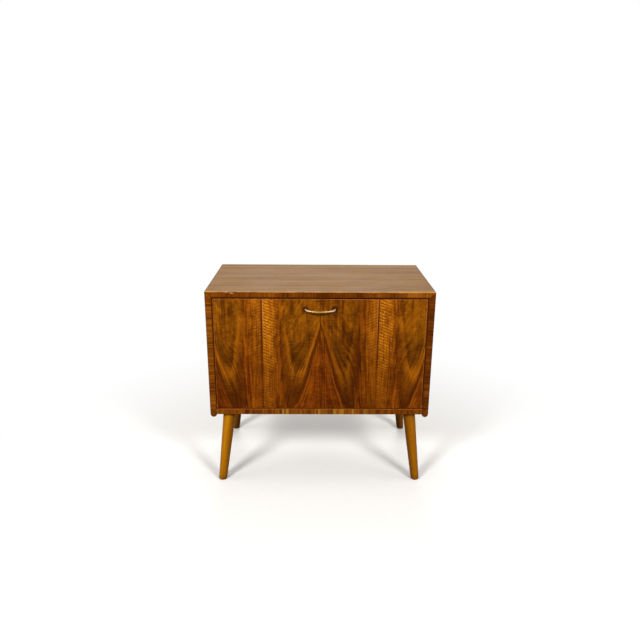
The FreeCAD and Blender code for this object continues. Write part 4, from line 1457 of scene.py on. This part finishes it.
BRASS_FITTING = OldMetal("brass_fitting_aged", tone(214, 176, 104), tone(132, 96, 44), (0.28, 0.42))
PLATED_STEEL = OldMetal("zinc_plate", tone(196, 196, 192), tone(136, 134, 128), (0.32, 0.48))
PLATED_SCREW = OldMetal("zinc_screw", tone(190, 186, 176), tone(124, 118, 108), (0.3, 0.45), 260.0)


@dataclass
class SubAssembly:
    """A group of pieces that are made and finished together."""

    nodes: dict[str, bpy.types.Object]
    effects: SharedEffects

    def dress(self, finish: Finish, *names: str) -> None:
        """Give some pieces one finish.

        Args:
            finish: The finish.
            names: The pieces.
        """
        material = bpy.data.materials.get(finish.name) or finish.material(self.effects)
        for name in names:
            for slot in self.nodes[name].material_slots:
                slot.material = material
            LOG.info("%s: %s", name, finish.name)


@dataclass
class Carcase(SubAssembly):
    """The case: veneered panels, cross bands, runners, back and joints."""

    envelope: Envelope = field(
        default_factory=lambda: Envelope.around("top_panel", "left_runner", "right_runner", "top_edge_band")
    )
    arris_width: float = 0.0022
    # Width of the wear and painted highlight along the top's front arris.
    top_wear_width: float = 0.009
    knock_x: float = -0.287
    knock_drop: float = 0.0045
    # Reach of the painted shade in from the band edges beside the gap round the fall front.
    top_edge_shade: float = 0.0052
    left_edge_shade: float = -0.0042
    right_edge_shade: float = 0.0064

    def finish(self) -> None:
        """Finish every piece of the case."""
        self._panels()
        self._bands()
        self._hidden()

    def _panels(self) -> None:
        """Finish the panels and the runners."""
        self.dress(
            BoardWood(
                "walnut_top",
                Grain.ALONG_WIDTH,
                tones((97, 62, 12), (124, 83, 22), (144, 101, 34)),
                band_scale=64.0,
                gloss=0.07,
                # The wide pale band along the top's front arris is wear and a painted highlight.
                envelope=self.envelope.only(Face.FRONT, Face.TOP),
                arris_width=self.top_wear_width,
                # The top's side and back arrises are painted darker as shade.
                shaded_arrises=self.envelope.only(Face.SIDES, Face.BACK, Face.TOP),
            ),
            "top_panel",
        )
        walnut = {
            "shades": tones((76, 34, 5), (114, 60, 13), (138, 80, 26)),
            "gloss": 0.04,
            "envelope": self.envelope,
            "arris_width": self.arris_width,
        }
        self.dress(BoardWood("walnut_base", Grain.ALONG_WIDTH, **walnut), "base_panel")
        self.dress(BoardWood("walnut_side", Grain.UPRIGHT, **walnut), "left_side_panel", "right_side_panel")
        dark = tones((62, 26, 2), (98, 48, 6), (122, 66, 13))
        runner = BoardWood("walnut_runner", Grain.ALONG_DEPTH, dark, band_scale=110.0)
        self.dress(runner, "left_runner", "right_runner")

    def _bands(self) -> None:
        """Finish the cross bands on the front edges."""
        middling = stops((0.38, 76, 32, 2), (0.5, 112, 57, 5), (0.62, 146, 83, 14))
        deep = stops((0.38, 58, 22, 1), (0.5, 92, 43, 3), (0.62, 124, 66, 9))
        # The top band's front arris is painted pale as wear and highlight.
        top = CrossBand(
            "cross_band_top",
            False,
            self.envelope.only(Face.FRONT, Face.TOP),
            middling,
            zones=11.0,
            streaks=0.34,
            shaded_edge=(Envelope.around("top_edge_band").low[2], self.top_edge_shade),
            knock=(self.knock_x, self.envelope.low[1], self.envelope.high[2] - self.knock_drop),
        )
        self.dress(top, "top_edge_band")
        # The side bands' outer arrises are painted dark as shade.
        shaded_arrises = {
            "upright": True,
            "envelope": self.envelope.only(Face.SIDES, Face.FRONT),
            "rub": 0.75,
            "wear_and_painted_light": tone(58, 28, 4),
        }
        edge = (Envelope.around("left_edge_band").high[0], self.left_edge_shade)
        self.dress(
            CrossBand("cross_band_left", scale=middling, shaded_edge=edge, **shaded_arrises), "left_edge_band"
        )
        edge = (Envelope.around("right_edge_band").low[0], self.right_edge_shade)
        self.dress(
            CrossBand("cross_band_right", scale=deep, shaded_edge=edge, **shaded_arrises), "right_edge_band"
        )
        strip = Envelope.around("base_edge_band").only(Face.FRONT, Face.TOP)
        # The base band's top arris is painted pale as a highlight of the lit strip below the fall front,
        # partly wear.
        wear_and_painted_highlight = {"rub": 0.7, "wear_and_painted_light": tone(178, 98, 44), "sapwood": 62.0}
        self.dress(CrossBand("cross_band_base", False, strip, middling, **wear_and_painted_highlight), "base_edge_band")

    def _hidden(self) -> None:
        """Finish the back, the joints and the back's screws."""
        ply = tones((104, 64, 30), (140, 94, 50), (164, 118, 72))
        plywood = BoardWood("stained_plywood", Grain.ALONG_WIDTH, ply, band_scale=20.0, sheen=(0.55, 0.7))
        self.dress(plywood, "back_panel", "left_corner_spline", "right_corner_spline")
        beech = tones((168, 128, 84), (198, 162, 118), (216, 184, 142))
        self.dress(
            BoardWood("bare_beech", Grain.ALONG_WIDTH, beech, sheen=(0.6, 0.75)),
            "side_dowels",
            "base_dowels",
        )
        self.dress(PLATED_SCREW, "back_panel_screws")


@dataclass
class BottleShelf(SubAssembly):
    """The loose shelf and its four pins."""

    def finish(self) -> None:
        """Finish the shelf and its pins."""
        walnut = tones((74, 36, 8), (112, 62, 20), (136, 84, 34))
        envelope = Envelope.around("shelf")
        self.dress(BoardWood("walnut_shelf", Grain.ALONG_WIDTH, walnut, envelope=envelope), "shelf")
        self.dress(BRASS_FITTING, "shelf_pins")


@dataclass
class FallFront(SubAssembly):
    """The fall front: core, bookmatched leaves and balancing leaf."""

    leaves: tuple[str, ...] = (
        "left_outer_veneer",
        "left_inner_veneer",
        "right_inner_veneer",
        "right_outer_veneer",
    )

    def finish(self) -> None:
        """Finish the panel and its leaves."""
        envelope = Envelope.around("fall_front_panel", "fall_front_backing", *self.leaves)
        self.dress(BookmatchedVeneer("bookmatched_walnut", envelope), *self.leaves)
        stained = tones((56, 18, 1), (84, 32, 3), (104, 44, 6))
        core = BoardWood("stained_core", Grain.ALONG_WIDTH, stained, sheen=(0.45, 0.6), gloss=0.015)
        self.dress(core, "fall_front_panel")
        walnut = tones((80, 40, 10), (116, 66, 22), (140, 88, 36))
        backing = BoardWood("walnut_backing", Grain.UPRIGHT, walnut, band_scale=24.0, envelope=envelope)
        self.dress(backing, "fall_front_backing")


@dataclass
class BowPull(SubAssembly):
    """The brass bow pull and the screws that hold it."""

    def finish(self) -> None:
        """Finish the pull and its screws."""
        low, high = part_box("pull_handle")
        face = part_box("left_inner_veneer")[0][1]
        self.dress(HandledBrass("aged_brass_pull", face, 0.5 * (low[2] + high[2])), "pull_handle")
        self.dress(PLATED_SCREW, "pull_screws")


@dataclass
class TaperedLegs(SubAssembly):
    """Four splayed legs with their plates, bolts and glides."""

    places: tuple[str, ...] = ("front_left", "front_right", "back_left", "back_right")

    def finish(self) -> None:
        """Finish the legs and their fittings."""
        self.dress(TurnedBeech("honey_beech"), *(place + "_leg" for place in self.places))
        self.dress(PLATED_STEEL, "leg_bolts", *(place + "_leg_plate" for place in self.places))
        self.dress(PLATED_SCREW, "leg_plate_screws")
        glide = MouldedStuff("dark_glide", tone(48, 42, 38), tone(74, 68, 62), (0.45, 0.65))
        self.dress(glide, "leg_glides")


@dataclass
class FallFittings(SubAssembly):
    """Knife hinges, fall stays and the magnetic catch."""

    sides: tuple[str, ...] = ("left", "right")
    brass: tuple[str, ...] = (
        "hinge_case_leaf",
        "hinge_door_leaf",
        "stay_arm",
        "stay_stud_plate",
        "stay_bracket",
        "stay_rivet",
    )
    screwed: tuple[str, ...] = ("hinge_case", "hinge_door", "stay_plate", "stay_bracket", "catch", "strike")

    def finish(self) -> None:
        """Finish the fittings that carry and hold the fall front."""
        for side in self.sides:
            self.dress(BRASS_FITTING, *(f"{side}_{piece}" for piece in self.brass))
        self.dress(PLATED_SCREW, *(place + "_screws" for place in self.screwed))
        catch = MouldedStuff("brown_catch", tone(66, 44, 32), tone(92, 66, 50), (0.4, 0.6))
        self.dress(catch, "catch_body")
        ferrite = MouldedStuff("grey_ferrite", tone(46, 46, 48), tone(78, 78, 80), (0.55, 0.75), 2600.0)
        self.dress(ferrite, "catch_magnet")
        self.dress(PLATED_STEEL, "strike_plate")


@dataclass(frozen=True)
class Lamp:
    """A soft square lamp: where it hangs, its side and its power in watts."""

    name: str
    place: Triple
    side: float
    power: float

    def hang(self, aim: Triple) -> None:
        """Hang the lamp and point it at the cabinet.

        Args:
            aim: The point that it looks at.
        """
        data = bpy.data.lights.new(self.name, "AREA")
        data.shape = "SQUARE"
        data.size = self.side
        data.energy = self.power
        lamp = bpy.data.objects.new(self.name, data)
        bpy.context.scene.collection.objects.link(lamp)
        lamp.location = self.place
        lamp.rotation_euler = (Vector(aim) - Vector(self.place)).to_track_quat("-Z", "Y").to_euler()


@dataclass
class Studio:
    """The floor, the lamps and the camera."""

    lamps: tuple[Lamp, ...] = (
        Lamp("left_lamp", (-1.8, -2.6, 2.3), 0.8, 92.0),
        Lamp("right_lamp", (1.8, -2.6, 2.3), 0.8, 80.0),
        Lamp("left_side_lamp", (-2.9, -0.5, 1.8), 1.7, 22.0),
        Lamp("right_side_lamp", (2.9, -0.5, 1.8), 1.7, 22.0),
        Lamp("back_lamp", (0.0, 2.5, 3.0), 1.7, 64.0),
    )
    aim: Triple = (0.0, 0.0, 0.4)
    room_light: float = 0.14
    floor_reach: float = 9.0
    floor_segments: int = 96
    floor_tones: tuple[Rgba, ...] = tones((243, 241, 237), (248, 246, 242))
    floor_grain: float = 40.0
    floor_rough: float = 0.9
    floor_gloss: float = 0.1
    floor_bounce: Rgba = tone(104, 92, 74)
    floor_fade: Span = Span(0.42, 1.3)
    eye: Triple = (-0.024, -2.0614, 1.1998)
    pitch: float = math.radians(17.76)
    yaw: float = math.radians(0.71)
    roll: float = math.radians(0.42)
    sensor: float = 36.0
    lens: float = 33.80625

    def build(self) -> None:
        """Set up the whole studio."""
        self._floor()
        self._world()
        for lamp in self.lamps:
            lamp.hang(self.aim)
        self._camera()

    def _floor(self) -> None:
        """Lay a plain pale floor, which passes into white and throws back less light than it shows."""
        mesh = bpy.data.meshes.new("floor")
        shape = bmesh.new()
        bmesh.ops.create_circle(shape, cap_ends=True, segments=self.floor_segments, radius=self.floor_reach)
        shape.to_mesh(mesh)
        shape.free()
        floor = bpy.data.objects.new("floor", mesh)
        bpy.context.scene.collection.objects.link(floor)
        surface = Surface("pale_floor")
        bench = surface.bench
        grain = bench.noise(surface.position, scale=self.floor_grain)
        colour = bench.mix(grain, *self.floor_tones)
        surface.done(Base_Color=colour, Roughness=self.floor_rough, Specular_IOR_Level=self.floor_gloss)
        pale = Value(bench, surface.shader.outputs[0])
        away = bench.length(surface.position).over(self.floor_fade)
        shown = bench.work("MixShader", away, pale, bench.work("Emission", WHITE, 1.0))
        bounced = bench.work("BsdfDiffuse", self.floor_bounce)
        whole = bench.work("MixShader", self._seen(bench), bounced, shown)
        bench.feed(bench.tree.nodes["Material Output"].inputs["Surface"], whole)
        mesh.materials.append(surface.material)

    @staticmethod
    def _seen(bench: NodeBench) -> Value:
        """Tell whether a ray shows the room itself, straight or in a shiny surface.

        Args:
            bench: The bench of the floor or of the room.

        Returns:
            1 if it does, or else 0.
        """
        path = bench.add("LightPath").outputs
        rays = [Value(bench, path[f"Is {kind} Ray"]) for kind in ("Camera", "Glossy", "Transmission")]
        return rays[0].at_least(rays[1]).at_least(rays[2])

    def _world(self) -> None:
        """Light the room evenly and show white behind the object."""
        world = bpy.data.worlds.new("studio_room")
        bpy.context.scene.world = world
        world.use_nodes = True
        bench = NodeBench(world.node_tree)
        room = bench.work("Background", WHITE, self.room_light)
        white = bench.work("Background", WHITE, 1.0)
        blend = bench.work("MixShader", self._seen(bench), room, white)
        bench.feed(world.node_tree.nodes["World Output"].inputs["Surface"], blend)

    def _camera(self) -> None:
        """Stand the camera where the photograph was taken from."""
        data = bpy.data.cameras.new("camera")
        data.sensor_width = self.sensor
        data.lens = self.lens
        camera = bpy.data.objects.new("camera", data)
        bpy.context.scene.collection.objects.link(camera)
        level = math.cos(self.pitch)
        forward = Vector((math.sin(self.yaw) * level, math.cos(self.yaw) * level, -math.sin(self.pitch)))
        right = Vector((math.cos(self.yaw), -math.sin(self.yaw), 0.0))
        up = right.cross(forward)
        rolled_right = right * math.cos(self.roll) + up * math.sin(self.roll)
        rolled_up = up * math.cos(self.roll) - right * math.sin(self.roll)
        turn = Matrix((rolled_right, rolled_up, -forward)).transposed().to_4x4()
        camera.matrix_world = Matrix.Translation(self.eye) @ turn
        bpy.context.scene.camera = camera


def clear_start() -> None:
    """Take away whatever the empty scene starts with."""
    for thing in list(bpy.data.objects):
        bpy.data.objects.remove(thing)


def main() -> None:
    """Load the cabinet, finish its pieces and set up the studio."""
    logging.basicConfig(level=logging.INFO, format="%(message)s")
    clear_start()
    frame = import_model()
    bpy.context.scene.view_settings.view_transform = "Standard"
    effects = SharedEffects()
    for assembly in (Carcase, BottleShelf, FallFront, BowPull, TaperedLegs, FallFittings):
        assembly(frame["nodes"], effects).finish()
    Studio().build()


if __name__ == "__main__":
    main()
